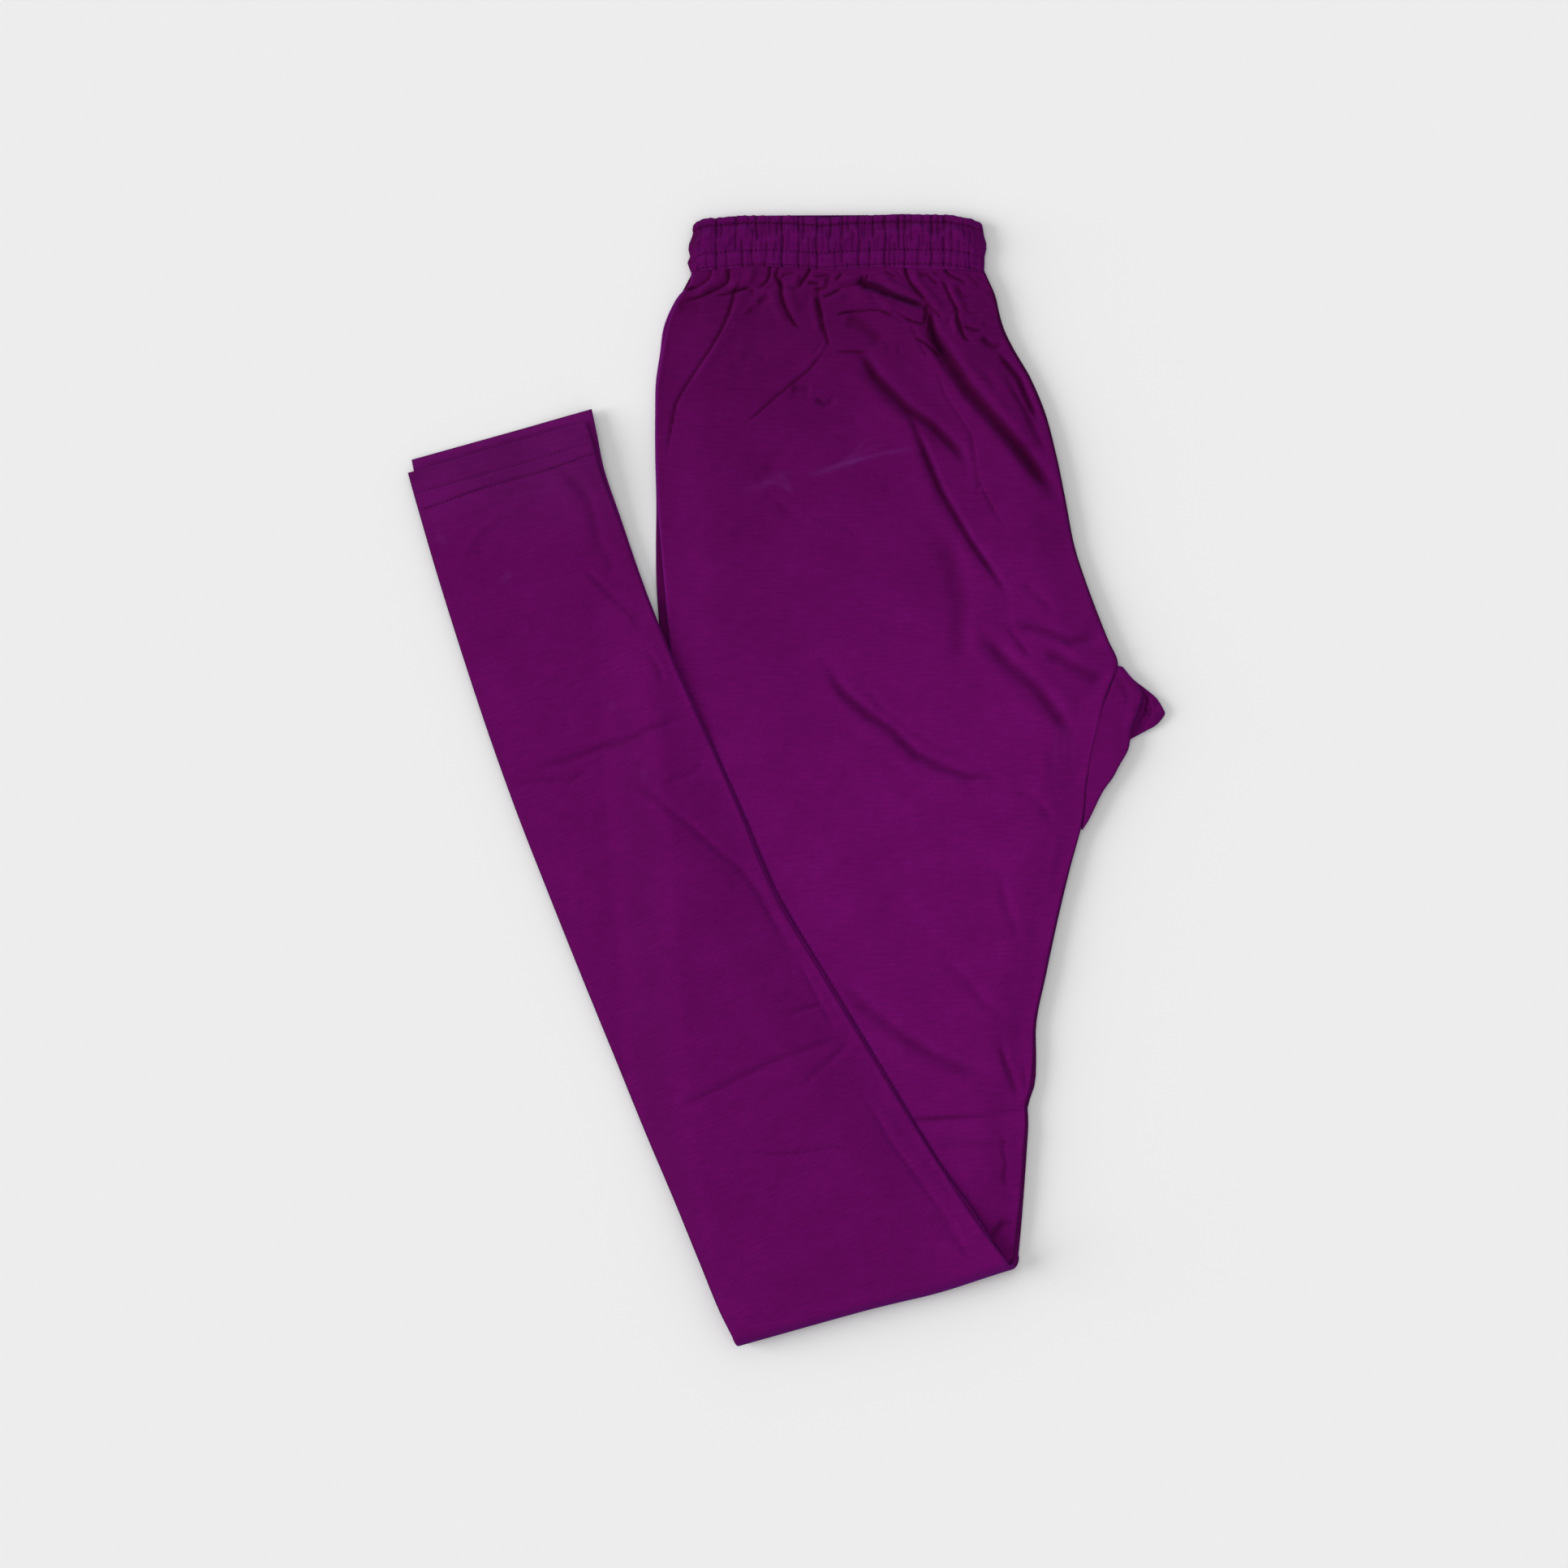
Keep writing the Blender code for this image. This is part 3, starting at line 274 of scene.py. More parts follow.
    ([(116, 213), (128, 193), (138, 172)], 1.4, -0.35, 0),
    ([(96, 222), (106, 214), (112, 205)], 2.0, -0.3, 0),
    ([(22.2, 231), (20, 226.6), (12, 217), (-6, 202), (-24, 186)], 0.7, -0.9, 0),
    ([(22, 231), (18, 224), (8, 214), (-8, 200)], 3.2, 0.35, 1),
    ([(2.6, 206.8), (13.3, 205.8)], 3.0, -0.7, 0),
    ([(17, 202.6), (21, 203.6), (25, 203)], 2.4, 0.28, 0),
    ([(16, 201.4), (20.9, 198.8), (26, 200.6)], 1.5, -0.8, 0),
    ([(-24, 224), (-16.8, 225.1), (-9.4, 223)], 2.0, -0.4, 0),
    ([(-30, 218.7), (-20, 217.6)], 1.8, -0.35, 0),
    ([(8, 190), (26, 188), (42, 190)], 3.0, -0.3, 0),
    ([(-12, 151), (-6, 148), (0, 143.5)], 2.0, -0.4, 0),
    ([(-2, 144.5), (6, 139), (11.2, 134.8)], 2.6, -0.25, 0),
    ([(13.3, 138), (30.5, 133.7), (41.3, 127.3)], 2.2, -0.35, 0),
    ([(-8, 168), (-10, 162), (-16, 158)], 4.0, -0.35, 0),
    ([(82.1, 133.7), (88.6, 112.2), (92.9, 95), (91, 80), (95, 60.6)], 6.0, -0.7, 0),
    ([(98, 122), (102, 104), (104, 84), (106, 70)], 7.0, 0.2, 0),
    ([(125.1, 103.6), (133.7, 97.2), (142.3, 88.6)], 2.0, -0.5, 0),
    ([(118.7, 82.1), (133.7, 80), (150.9, 73.5), (168.1, 75.5)], 3.0, -1.0, 0),
    ([(118, 87), (134, 86), (150, 80.5), (164, 81)], 4.0, 0.56, 0),
    ([(124, 76), (140, 74), (154, 67.5), (168, 67)], 3.0, 0.7, 0),
    ([(135.9, 69.2), (150.9, 60.6), (163.8, 54.8), (172, 54.2)], 3.4, -1.0, 0),
    ([(116.5, 82.1), (129.4, 64.9)], 1.5, -0.45, 0),
    ([(101.5, 79), (118.7, 60.6), (133.7, 47.7), (146.6, 30.5), (155, 22)], 3.4, -1.15, 0),
    ([(96, 73), (112, 56), (127, 42), (139, 27)], 5.0, 0.49, 1),
    ([(112, 78), (126, 64), (140, 53), (152, 38)], 4.0, 0.56, 0),
    ([(19.8, 62.8), (30.5, 45.6), (43.4, 34.8), (56.3, 26.2), (69.2, 13.3), (84.3, 5.8), (97.2, 1.5),
      (105.8, 2.6), (119, -5)], 2.6, -1.2, 0),
    ([(26, 42), (40, 27), (54, 17), (68, 4), (84, -4), (102, -9)], 5.0, 0.56, -1),
    ([(119, -5), (124, -6.5), (133.7, -12.5), (142, -22)], 1.7, -0.7, 0),
    ([(39.1, 52), (49.9, 39.1), (64.9, 26.2), (84.3, 15.5), (95, 14), (105.8, 6.9)], 1.9, -0.5, 0),
    ([(112.6, -50), (114.4, -57.6), (118.7, -72.7), (124.1, -85.6)], 2.4, -0.45, 0),
    ([(80, -94.2), (95, -104.9), (105.8, -120), (118.7, -125.3)], 2.6, -0.6, 0),
    ([(100, -118), (110, -126), (120, -128)], 2.8, 0.35, 0),
    ([(28.4, -104.9), (41.3, -120), (58.5, -132.9), (77.8, -145.8), (95, -153.3), (113, -158)],
     3.2, -0.95, 0),
    ([(52, -136), (72, -151), (92, -160), (110, -165)], 4.5, 0.52, 0),
    ([(113, -140), (116.5, -150.1), (119.8, -158.7), (123.5, -168)], 1.5, -0.6, 0),
    ([(125.1, -150.4), (127.5, -166)], 1.01, -0.4, 0),
    ([(64, -176.8), (86.4, -175), (107.9, -173.8), (130, -172.2)], 2.2, 0.35, 0),
    ([(62, -179.8), (86, -178), (107, -176.4), (130, -174.6)], 1.01, -0.85, 0),
    ([(78, -184.5), (98, -184.5), (114, -183)], 2.6, 0.35, 0),
    ([(78, -191), (99, -193), (116, -191.5)], 3.4, -0.7, 0),
    ([(112, -190), (118, -192.5), (124, -192.5)], 1.4, -0.7, 0),
    ([(115.5, -190.9), (114.6, -197), (116.5, -203.7), (115, -209), (117.5, -216)], 0.92, -0.5, 0),
    ([(106, -247), (110, -240), (115, -235), (121, -233.5)], 1.8, -1, 0),
    ([(112, -241), (121.5, -237.6)], 0.7, 0.35, 0),
    ([(112.5, -244.5), (122, -241)], 0.7, 0.35, 0),
    ([(113, -248), (121.5, -244.6)], 0.7, 0.35, 0),
    ([(60, -60), (84, -74), (96, -92)], 9.0, 0.28, 0),
    ([(134, 20), (136, 4), (134, -8)], 4.0, 0.42, 0),
    ([(143, -26), (141, -44), (136, -62)], 3.0, 0.35, 0),
    ([(176, 64), (172, 52), (168.8, 43), (164.8, 27), (161.4, 12), (159.2, -2), (157.8, -14), (155, -32)],
     0.7, -0.25, 0),
    ([(0, 110), (40, 96), (70, 70)], 16.0, 0.42, 0),
    ([(-40, 160), (-36, 120), (-40, 90)], 14.0, 0.35, 0),
]
fineHalf = 1.25      # narrower creases are sharp lines, wider ones are troughs
waistLines = [fold for fold in waistFolds if fold[2] < 0 and fold[1] < fineHalf]
waistTroughs = [fold for fold in waistFolds if fold[2] < 0 and fold[1] >= fineHalf]
waistRidges = [fold for fold in waistFolds if fold[2] > 0]
# Creases of the lower leg, same columns
lowerFolds = [
    ([(-124, 165), (-117, 162), (-110, 157), (-104.2, 149.5), (-101.6, 138), (-98, 122)], 2.8, -0.5, 0),
    ([(-116, 160), (-109, 154), (-105, 146)], 3.0, -0.3, 0),
    ([(-104.6, 190), (-102.6, 181), (-100, 174)], 1.2, -0.7, 0),
    ([(-149.4, 151.7), (-131.3, 154.5), (-121.5, 154.2)], 2.2, -0.4, 0),
    ([(-171.6, 111.5), (-170, 121.3), (-162.6, 131.2), (-152.7, 138.6), (-139.6, 141)], 2.0, 0.2, 0),
    ([(-163, 117), (-160.5, 126), (-155, 132)], 3.2, -0.25, 0),
    ([(-100, 128), (-94, 118), (-90, 108)], 3.0, -0.3, 0),
    ([(-107.5, 112.3), (-95.2, 99.9), (-82, 87.6), (-75.4, 76.9)], 1.8, -0.65, 0),
    ([(-83.7, 71.2), (-72.1, 66.2), (-67.2, 58.8), (-64.7, 49)], 1.8, -0.45, 0),
    ([(-96.8, 61.3), (-88.6, 67.1)], 2.0, -0.3, 0),
    ([(-128, 50.6), (-118.2, 52.3)], 2.2, -0.3, 0),
    ([(-72.1, 40.4), (-62.3, 40.7), (-52.4, 43.2)], 0.9, -0.5, 0),
    ([(-138, 4), (-114.9, 10.3), (-95.2, 17.7), (-73.8, 25.9), (-57.3, 31.7), (-48, 35.5)], 1.7, -0.8, 0),
    ([(-134, 9), (-112, 16), (-92, 23), (-72, 31), (-56, 38)], 3.8, 0.3, -1),
    ([(-146, -2.4), (-128, 0), (-114.9, -0.7), (-103.4, 6.2)], 1.0, -0.75, 0),
    ([(-142, 2), (-128, 4), (-116, 3.5)], 2.4, 0.17, 0),
    ([(-65.6, -2.8), (-52.4, 2.1), (-41.5, 10)], 1.6, -0.5, 0),
    ([(-97, 1), (-84, -4), (-69, -10), (-53.3, -22), (-38.3, -35.6), (-23.2, -48.4), (-14.6, -59.8),
      (-6, -74.8), (5, -94)], 2.3, -0.75, 0),
    ([(-76, -18), (-56, -32), (-38, -47), (-24, -62)], 5.0, 0.3, 1),
    ([(-70.5, -86.6), (-57.6, -93.1), (-44.7, -95.2)], 2.2, -0.5, 0),
    ([(-40, -104), (-20, -104), (0, -98)], 3.5, -0.3, 0),
    ([(-0.5, -124.3), (11.2, -120), (27, -117)], 1.0, -0.8, 0),
    ([(6.9, -96.3), (15.5, -113.5), (26.2, -132.9)], 1.2, -0.45, 0),
    ([(-68.4, -175.9), (-49, -169.4), (-27.5, -158.7), (-6, -147.9), (15.5, -140.4), (36, -134)],
     2.0, -0.75, 0),
    ([(-62, -182), (-42, -176), (-20, -165), (2, -154), (22, -147)], 4.5, 0.3, 1),
    ([(6.9, -161.9), (19.8, -151.1), (34.8, -137.2)], 1.5, -0.6, 0),
    ([(-21.1, -196.3), (-3.9, -197.4), (13.3, -195.7), (24.1, -193.5), (39.1, -194.1)], 0.9, -0.8, 0),
    ([(-16, -201), (4, -202), (26, -199)], 3.0, 0.23, 0),
    ([(-8, -184), (8, -183)], 3.0, -0.3, 0),
    ([(39, -164), (47, -177), (54.2, -190), (64, -203), (75.7, -219), (88, -235), (96, -246)],
     1.3, -0.5, 0),
    ([(47, -168), (60, -188), (76, -209), (94, -230)], 2.6, 0.23, 0),
    ([(78, -226), (90, -242), (98, -254)], 1.6, -0.4, 0),
    ([(-30, -140), (-50, -120), (-66, -100)], 12.0, 0.25, 0),
    ([(-120, -20), (-104, -44), (-92, -70)], 12.0, 0.2, 0),
    ([(30, -250), (0, -246), (-26, -252)], 12.0, 0.2, 0),
    ([(-150, 84), (-140, 64), (-136, 44)], 9.0, -0.3, 0),
]
# the under leg sinks where the over leg's left edge draws away from it
gapFolds = [([(-67.4, 142), (-66.6, 120), (-64.4, 98), (-62, 72)], 1.7, -0.7, 0)]
# Whitish rub marks left by an old crease, and three along the inseam. The third column is their strength
rubMarks = [
    ([(10, 161.2), (20, 163), (31, 166.4), (41, 170.2)], 1.5, 0.1, 0),
    ([(26, 165.6), (39.1, 169.6), (52, 172.8), (69.2, 175.7)], 0.9, 0.14, 0),
    ([(24, 164.2), (34.8, 171.8), (41.3, 178.9), (46, 181)], 0.9, 0.08, 0),
    ([(30, 168), (40, 173.4), (52, 177.6)], 1.1, 0.06, 0),
    ([(-24, 153), (-14, 155.4), (-6, 160), (4, 164)], 2.2, 0.05, 0),
    ([(-14.6, 156.3), (-6, 157.4), (2.6, 153.1)], 1.2, 0.11, 0),
    ([(-4, 162), (0, 157), (3, 151)], 1.2, 0.1, 0),
    ([(16, 163), (30, 167), (44, 171.6)], 0.9, 0.1, 0),
    ([(144, 30), (142, 15), (141, 2)], 1.2, 0.05, 0),
    ([(147.5, 30), (146.5, 11)], 0.9, 0.05, 0),
    ([(151, 24), (152, 8)], 0.9, 0.04, 0),
]
# the back hem just beyond the front hem's edge, in its shade
hemGap = [([(-200, 163.4), (-150, 178.0), (-107, 190.4)], 1.0, -0.5, 0)]
paleSpots = [
    ([(-150, 109), (-146.5, 105.5)], 3.2, 0.09, 0),
    ([(-186, 130), (-180, 125)], 2.2, 0.07, 0),
    ([(-94, 40.5), (-90, 37.5)], 2.6, 0.06, 0),
    ([(-77, 5), (-73, 2.6)], 3.0, 0.06, 0),
]


def smooth(value):
    t = np.clip(value, 0.0, 1.0)
    return t * t * (3.0 - 2.0 * t)


# distances that grow by a step until each part of the way
def spacing(total, *parts):
    values = [0.0]
    for until, step in parts:
        first = values[-1]
        count = max(1, round((total * until - first) / step))
        values += list(first + (total * until - first) * (np.arange(count) + 1) / count)
    return np.array(values)


# rows of a table at even steps along its middle line, through a smooth curve
def alongTable(table, *parts):
    rows = np.array(table, dtype=float)
    middle = (rows[:, 0:2] + rows[:, 2:4]) / 2.0
    place = np.concatenate(([0.0], np.cumsum(np.hypot(*(middle[1:] - middle[:-1]).T))))
    slope = np.gradient(rows, place, axis=0)
    d = spacing(place[-1], *parts)
    k = np.clip(np.searchsorted(place, d, side="right") - 1, 0, len(place) - 2)
    span = (place[k + 1] - place[k])[:, None]
    t = ((d - place[k]) / span[:, 0])[:, None]
    even = ((2 * t ** 3 - 3 * t ** 2 + 1) * rows[k] + (t ** 3 - 2 * t ** 2 + t) * span * slope[k]
            + (3 * t ** 2 - 2 * t ** 3) * rows[k + 1] + (t ** 3 - t ** 2) * span * slope[k + 1])
    return even, d


# height of a list of creases at many points
def creaseHeight(folds, x, y):
    height = np.zeros(x.shape)
    for points, half, size, steep in folds:
        pts = np.array(points, dtype=float)
        reach = 2.6 * half
        near = ((x > pts[:, 0].min() - reach) & (x < pts[:, 0].max() + reach)
                & (y > pts[:, 1].min() - reach) & (y < pts[:, 1].max() + reach))
        if not near.any():
            continue
        px = x[near]
        py = y[near]
        best = np.full(px.shape, 1e9)
        side = np.zeros(px.shape)
        part = np.zeros(px.shape)
        steps = pts[1:] - pts[:-1]
        lengths = np.hypot(steps[:, 0], steps[:, 1])
        start = np.concatenate(([0.0], np.cumsum(lengths)))
        for k in range(len(steps)):
            rx = px - pts[k, 0]
            ry = py - pts[k, 1]
            along = np.clip((rx * steps[k, 0] + ry * steps[k, 1]) / lengths[k] ** 2, 0.0, 1.0)
            dist = np.hypot(rx - along * steps[k, 0], ry - along * steps[k, 1])
            closer = dist < best
            best = np.where(closer, dist, best)
            side = np.where(closer, np.sign(steps[k, 0] * ry - steps[k, 1] * rx), side)
            part = np.where(closer, (start[k] + along * lengths[k]) / start[-1], part)
        width = np.full(px.shape, half)
        if steep:
            width = np.where(side * steep > 0, half * 0.5, half * 1.2)
        fade = smooth(np.minimum(part, 1.0 - part) / 0.25 + 0.15)
        height[near] += size * fade * np.exp(-(best / width) ** 2)
    return height


# soft unevenness of cloth that has been folded and pressed by hand
def lumps(x, y, seed):
    rng = np.random.default_rng(seed)
    height = np.zeros(x.shape)
    for wavelength, size in ((90, 0.22), (46, 0.14), (24, 0.07), (13, 0.035)):      # millimetres
        for turn in rng.uniform(0, 2 * math.pi, 4):
            phase = rng.uniform(0, 2 * math.pi)
            bend = 6.0 * np.sin((x * math.sin(turn) - y * math.cos(turn)) / wavelength * 1.7 + phase)
            height += size * 0.5 * np.sin(2 * math.pi * (x * math.cos(turn) + y * math.sin(turn) + bend)
                                          / wavelength + phase)
    return height


# a line through points, rounded where they turn
def softLine(x, points):
    px, py = np.array(points, dtype=float).T
    k = np.clip(np.searchsorted(px, x) - 1, 0, len(px) - 2)
    return py[k] + (py[k + 1] - py[k]) * smooth((x - px[k]) / (px[k + 1] - px[k]))


def edgeAt(table, y):
    rows = sorted(table)
    return np.interp(y, [r[0] for r in rows], [r[1] for r in rows])


# right edge of a leg's lower half: y, x
def rightEdge(leg):
    return [(row[3], row[2]) for row in leg["lower"]]


# how far the lower halves have come down
def drape(x, y):
    top = flap["leaves"]
    below = edgeAt(flap["carriedBy"], y) - x
    above = np.hypot(x - top[0], y - top[1])
    down = smooth(np.where(y <= top[1], below, above) / flap["run"])
    inward = edgeAt(rightEdge(underLeg), y) - x
    lifted = flap["lift"] * smooth(1.0 - inward / flap["liftWide"])
    return overLowerZ * down * (1.0 - lifted * smooth((y - top[1]) / flap["liftStart"]))


# how much of the body is free of the lower legs lying on it
def clearOfFlap(x, y):
    clear = smooth((x - edgeAt(rightEdge(overLeg) + [flap["kneeCorner"]], y) + 0.5) / 1.8)
    return np.where(y > flap["clearFrom"], 1.0, clear)


# how strongly each kind of crease is raised, the deepest that it sinks, and how far in from each edge
# the cloth has its full loft
bodyRelief = {"lines": 0.7, "troughs": 1.25, "ridges": 0.75, "deepest": 1.3, "left": 30.0, "right": 26.0,
              "waist": 30.0}
flapRelief = {"creases": 1.1, "lumps": 0.8, "deepest": 0.42, "edge": 22.0}      # deepest is a share


def upperRelief(x, y, row):
    fromLeft = x - row[0]
    fromRight = row[2] - x
    loft = waistLoft + (upperLoft - waistLoft) * smooth((266.0 - y) / bodyRelief["waist"])
    loft = loft * smooth((fromLeft + 0.4) / bodyRelief["left"])
    loft = loft * smooth((fromRight + 0.4) / bodyRelief["right"])
    height = bodyRelief["lines"] * creaseHeight(waistLines, x, y)
    height += bodyRelief["troughs"] * creaseHeight(waistTroughs, x, y)
    height += bodyRelief["ridges"] * creaseHeight(waistRidges, x, y) + lumps(x, y, 3)
    height = np.maximum(height, -bodyRelief["deepest"] - loft)
    height = height * smooth((np.minimum(fromLeft, fromRight) + 0.6) / 3.5)
    return (height + loft) * clearOfFlap(x, y)


def lowerRelief(x, y, gap, thick):
    loft = lowerLoft * smooth(gap / flapRelief["edge"])
    height = flapRelief["creases"] * creaseHeight(lowerFolds, x, y) + flapRelief["lumps"] * lumps(x, y, 8)
    height = np.maximum(height, -flapRelief["deepest"] * thick - loft)
    return height * smooth((gap + 1.0) / 4.0) + loft


# One ring of points round a pressed tube: face A, right edge, face B, left edge
def tubeRing(left, right, radii, zA, zB, uA, uB, edgeSteps):
    along = (right - left) / np.linalg.norm(right - left)
    low = left + along * radii[0]
    high = right - along * radii[1]
    faceA = low + (high - low) * uA[:, None]
    faceB = high + (low - high) * uB[:, None]
    ringA = zA(faceA)
    ringB = zB(faceB)
    angles = (math.pi * (np.arange(edgeSteps) + 1) / (edgeSteps + 1))[:, None]
    out = np.array([along[0], along[1], 0.0])

    def edge(first, last, direction, reach):
        return ((first + last) / 2 + (first - last) / 2 * np.cos(angles)
                + direction * reach * np.sin(angles))

    return np.vstack([ringA, edge(ringA[-1], ringB[0], out, radii[1]),
                      ringB, edge(ringB[-1], ringA[0], -out, radii[0]), ringA[:1]])


# the two ends of the line that a leg's knee turns round
def kneeEnds(leg):
    left = knee["left"] - knee["out"] * knee["reach"] + knee["along"] * leg["kneeEnds"][0]
    right = knee["right"] - knee["out"] * knee["reach"] - knee["along"] * leg["kneeEnds"][1]
    return left, right


# Rings of a leg's upper half, from the waist to the knee. inset moves them into the cloth, for the
# inside of its wall
def upperRings(leg, uA, uB, grid, inset):
    left, right = kneeEnds(leg)
    rows, way = alongTable(leg["upper"] + [(*left, *right, edgeRound)], *grid["upper"])
    first = rows[0]
    wall = legThick * deepWall if inset else 0.0
    shift = np.array([clothWall if inset else 0.0, 0.0])
    rings = []
    for row in rows[:-1]:

        # the leg's top edge follows the bottom of the waistband
        def waist(p, row=row):
            fade = 1.0 - smooth((first[1] - row[1]) / 22.0)
            part = (p[:, 0] - first[0]) / (first[2] - first[0])
            straight = first[1] + (first[3] - first[1]) * part
            return p[:, 1] + fade * (bandBottomAt(p[:, 0]) - 0.1 - straight)

        def bottom(p):
            z = np.full(len(p), leg["upperZ"] + (innerWall["upperBottom"] if inset else 0.0))
            return np.column_stack([p[:, 0], waist(p), z])

        def top(p, row=row):
            y = waist(p)
            z = np.full(len(p), leg["upperZ"] + legThick - wall)
            if leg is overLeg and not inset:
                z += upperRelief(p[:, 0], y, row)
            elif not inset:
                z += 2.0 * creaseHeight(gapFolds, p[:, 0], y)
            return np.column_stack([p[:, 0], y, z])

        radii = (edgeRound, row[4])
        rings.append(tubeRing(row[0:2] + shift, row[2:4] - shift, radii, bottom, top, uA, uB, grid["edge"]))
    return rings, way[:-1]


# rings round the fold at the knee
def kneeRings(leg, uA, uB, grid, inset):
    left, right = kneeEnds(leg)
    outer = (leg["lowerZ"] + legThick - leg["upperZ"]) / 2.0
    axisZ = leg["upperZ"] + outer
    wallOut = innerWall["kneeOuter"] if inset else 0.0
    wallIn = innerWall["kneeInner"] if inset else 0.0
    shift = knee["along"] * (clothWall if inset else 0.0)
    rings = []
    for k in range(grid["knee"] + 1):
        angle = math.pi * k / grid["knee"]
        turn = np.array([*(knee["out"] * math.sin(angle)), -math.cos(angle)])

        def on(p, radius, turn=turn):
            off = (np.linalg.norm(p - left, axis=1) - knee["bowAt"]) / knee["bowWide"]
            bow = knee["bow"] * np.exp(-off ** 2)
            bowed = p + knee["out"] * (bow * math.hypot(turn[0], turn[1]))[:, None]
            return np.column_stack([bowed, np.full(len(p), axisZ)]) + turn * radius

        leftTuck = knee["along"] * knee["leftTuck"] * math.sin(angle) ** 2
        rightTuck = knee["along"] * knee["tuck"] * (1.0 - math.cos(angle)) / 2.0
        rings.append(tubeRing(left + shift + leftTuck, right - shift - rightTuck, (edgeRound, edgeRound),
                              lambda p: on(p, outer - wallOut), lambda p: on(p, outer - legThick + wallIn),
                              uA, uB, grid["edge"]))
    return rings, 14.0 + 2.0 * np.arange(grid["knee"] + 1)


# rings of a leg's lower half, from the knee to the hem
def lowerRings(leg, uA, uB, grid, inset):
    start, corner = kneeEnds(leg)
    corner = corner - knee["along"] * knee["tuck"]
    rows, way = alongTable([(*start, *corner)] + leg["lower"], *grid["lower"])
    end = rows[-1]
    toHem = np.array([-(end[3] - end[1]), end[2] - end[0]])
    toHem /= np.linalg.norm(toHem)
    hemAcross = np.array([toHem[1], -toHem[0]])
    pressTop, pressBottom = leg["press"]
    hemTop, hemBottom = leg["hemPress"]
    rings = []
    for row, at in zip(rows[1:], way[1:]):
        left = row[0:2]
        right = row[2:4]
        tail = way[-1] - at
        rim = 0.3 * (1.0 - smooth(tail / 0.8)) if not inset else 0.0
        fromKnee = smooth((at - 8.0) / 50.0)
        atHem = 1.0 - smooth(tail / hem["pressed"])

        def press(p, right=right, fromKnee=fromKnee, tail=tail):
            nearRight = 1.0 - smooth(np.linalg.norm(p - right, axis=1) / 40.0)
            return fromKnee * nearRight * smooth((tail - 10) / 60)

        def thickAt(p, atHem=atHem):
            return legThick - (pressTop - pressBottom) * press(p) - (hemTop - hemBottom) * atHem

        def wallAt(p, tail=tail):
            deep = np.minimum(deepWall * thickAt(p), innerWall["lowerTop"])
            return clothWall + (deep - clothWall) * smooth(tail / 10.0) if inset else 0.0

        # the front hem: its doubled cloth down to the lower stitch row, and the two rows' dents
        def hemRelief(p, left=left):
            line = np.array(hem["rows"][1])
            doubled = np.interp((p - left) @ hemAcross, (line - left) @ hemAcross, (end[0:2] - line) @ toHem)
            height = hem["raise"] * smooth(doubled + 0.6 - (end[0:2] - p) @ toHem)
            for line in hem["rows"]:
                height += creaseHeight([(line, 0.8, -0.35, 0)], p[:, 0], p[:, 1])
            return height

        def top(p, left=left, right=right, at=at):
            z = leg["lowerZ"] - drape(p[:, 0], p[:, 1]) + legThick - wallAt(p) - rim
            z -= pressTop * press(p) + hemTop * atHem
            if leg is underLeg and not inset:
                gap = np.minimum(np.linalg.norm(p - left, axis=1), np.linalg.norm(p - right, axis=1))
                z += hemRelief(p) + lowerRelief(p[:, 0], p[:, 1], gap, thickAt(p)) * smooth(at / 14.0)
            return np.column_stack([p, z])

        def bottom(p):
            z = leg["lowerZ"] - drape(p[:, 0], p[:, 1]) + (innerWall["lowerBottom"] if inset else 0.0) + rim
            return np.column_stack([p, z - pressBottom * press(p) - hemBottom * atHem])

        shift = (right - left) / np.linalg.norm(right - left) * (clothWall if inset else 0.0)
        radii = (edgeRound, 0.8)
        rings.append(tubeRing(left + shift, right - shift, radii, top, bottom, uA, uB, grid["edge"]))
    return rings, way[1:]


# all rings of one leg, and how far along the cloth each of them is
def legRings(leg, uA, uB, grid, inset):
    upper, upperWay = upperRings(leg, uA, uB, grid, inset)
    bend, bendWay = kneeRings(leg, uA, uB, grid, inset)
    lower, lowerWay = lowerRings(leg, uA, uB, grid, inset)
    bendWay = upperWay[-1] + bendWay
    return np.array(upper + bend + lower), np.concatenate([upperWay, bendWay, bendWay[-1] + lowerWay])


# A grid laid over rings of points. Its UVs are the real way across and along, in metres
def gridMesh(name, rings, lengths):
    rowCount, across = rings.shape[:2]
    bm = bmesh.new()
    bmesh.ops.create_grid(bm, x_segments=across - 1, y_segments=rowCount - 1, size=1.0)
    mesh = bpy.data.meshes.new(name)
    bm.to_mesh(mesh)
    bm.free()
    mesh.vertices.foreach_set("co", (rings * mm).reshape(-1))
    steps = np.linalg.norm(rings[:, 1:] - rings[:, :-1], axis=2)
    around = np.concatenate([np.zeros((rowCount, 1)), np.cumsum(steps, axis=1)], axis=1)
    along = np.repeat(lengths[:, None], across, axis=1)
    flat = np.stack([around, along], axis=2).reshape(-1, 2) * mm
    corner = np.zeros(len(mesh.loops), dtype=np.int32)
    mesh.loops.foreach_get("vertex_index", corner)
    layer = mesh.uv_layers.new(name="cloth")
    layer.uv.foreach_set("vector", flat[corner].reshape(-1))
    return mesh


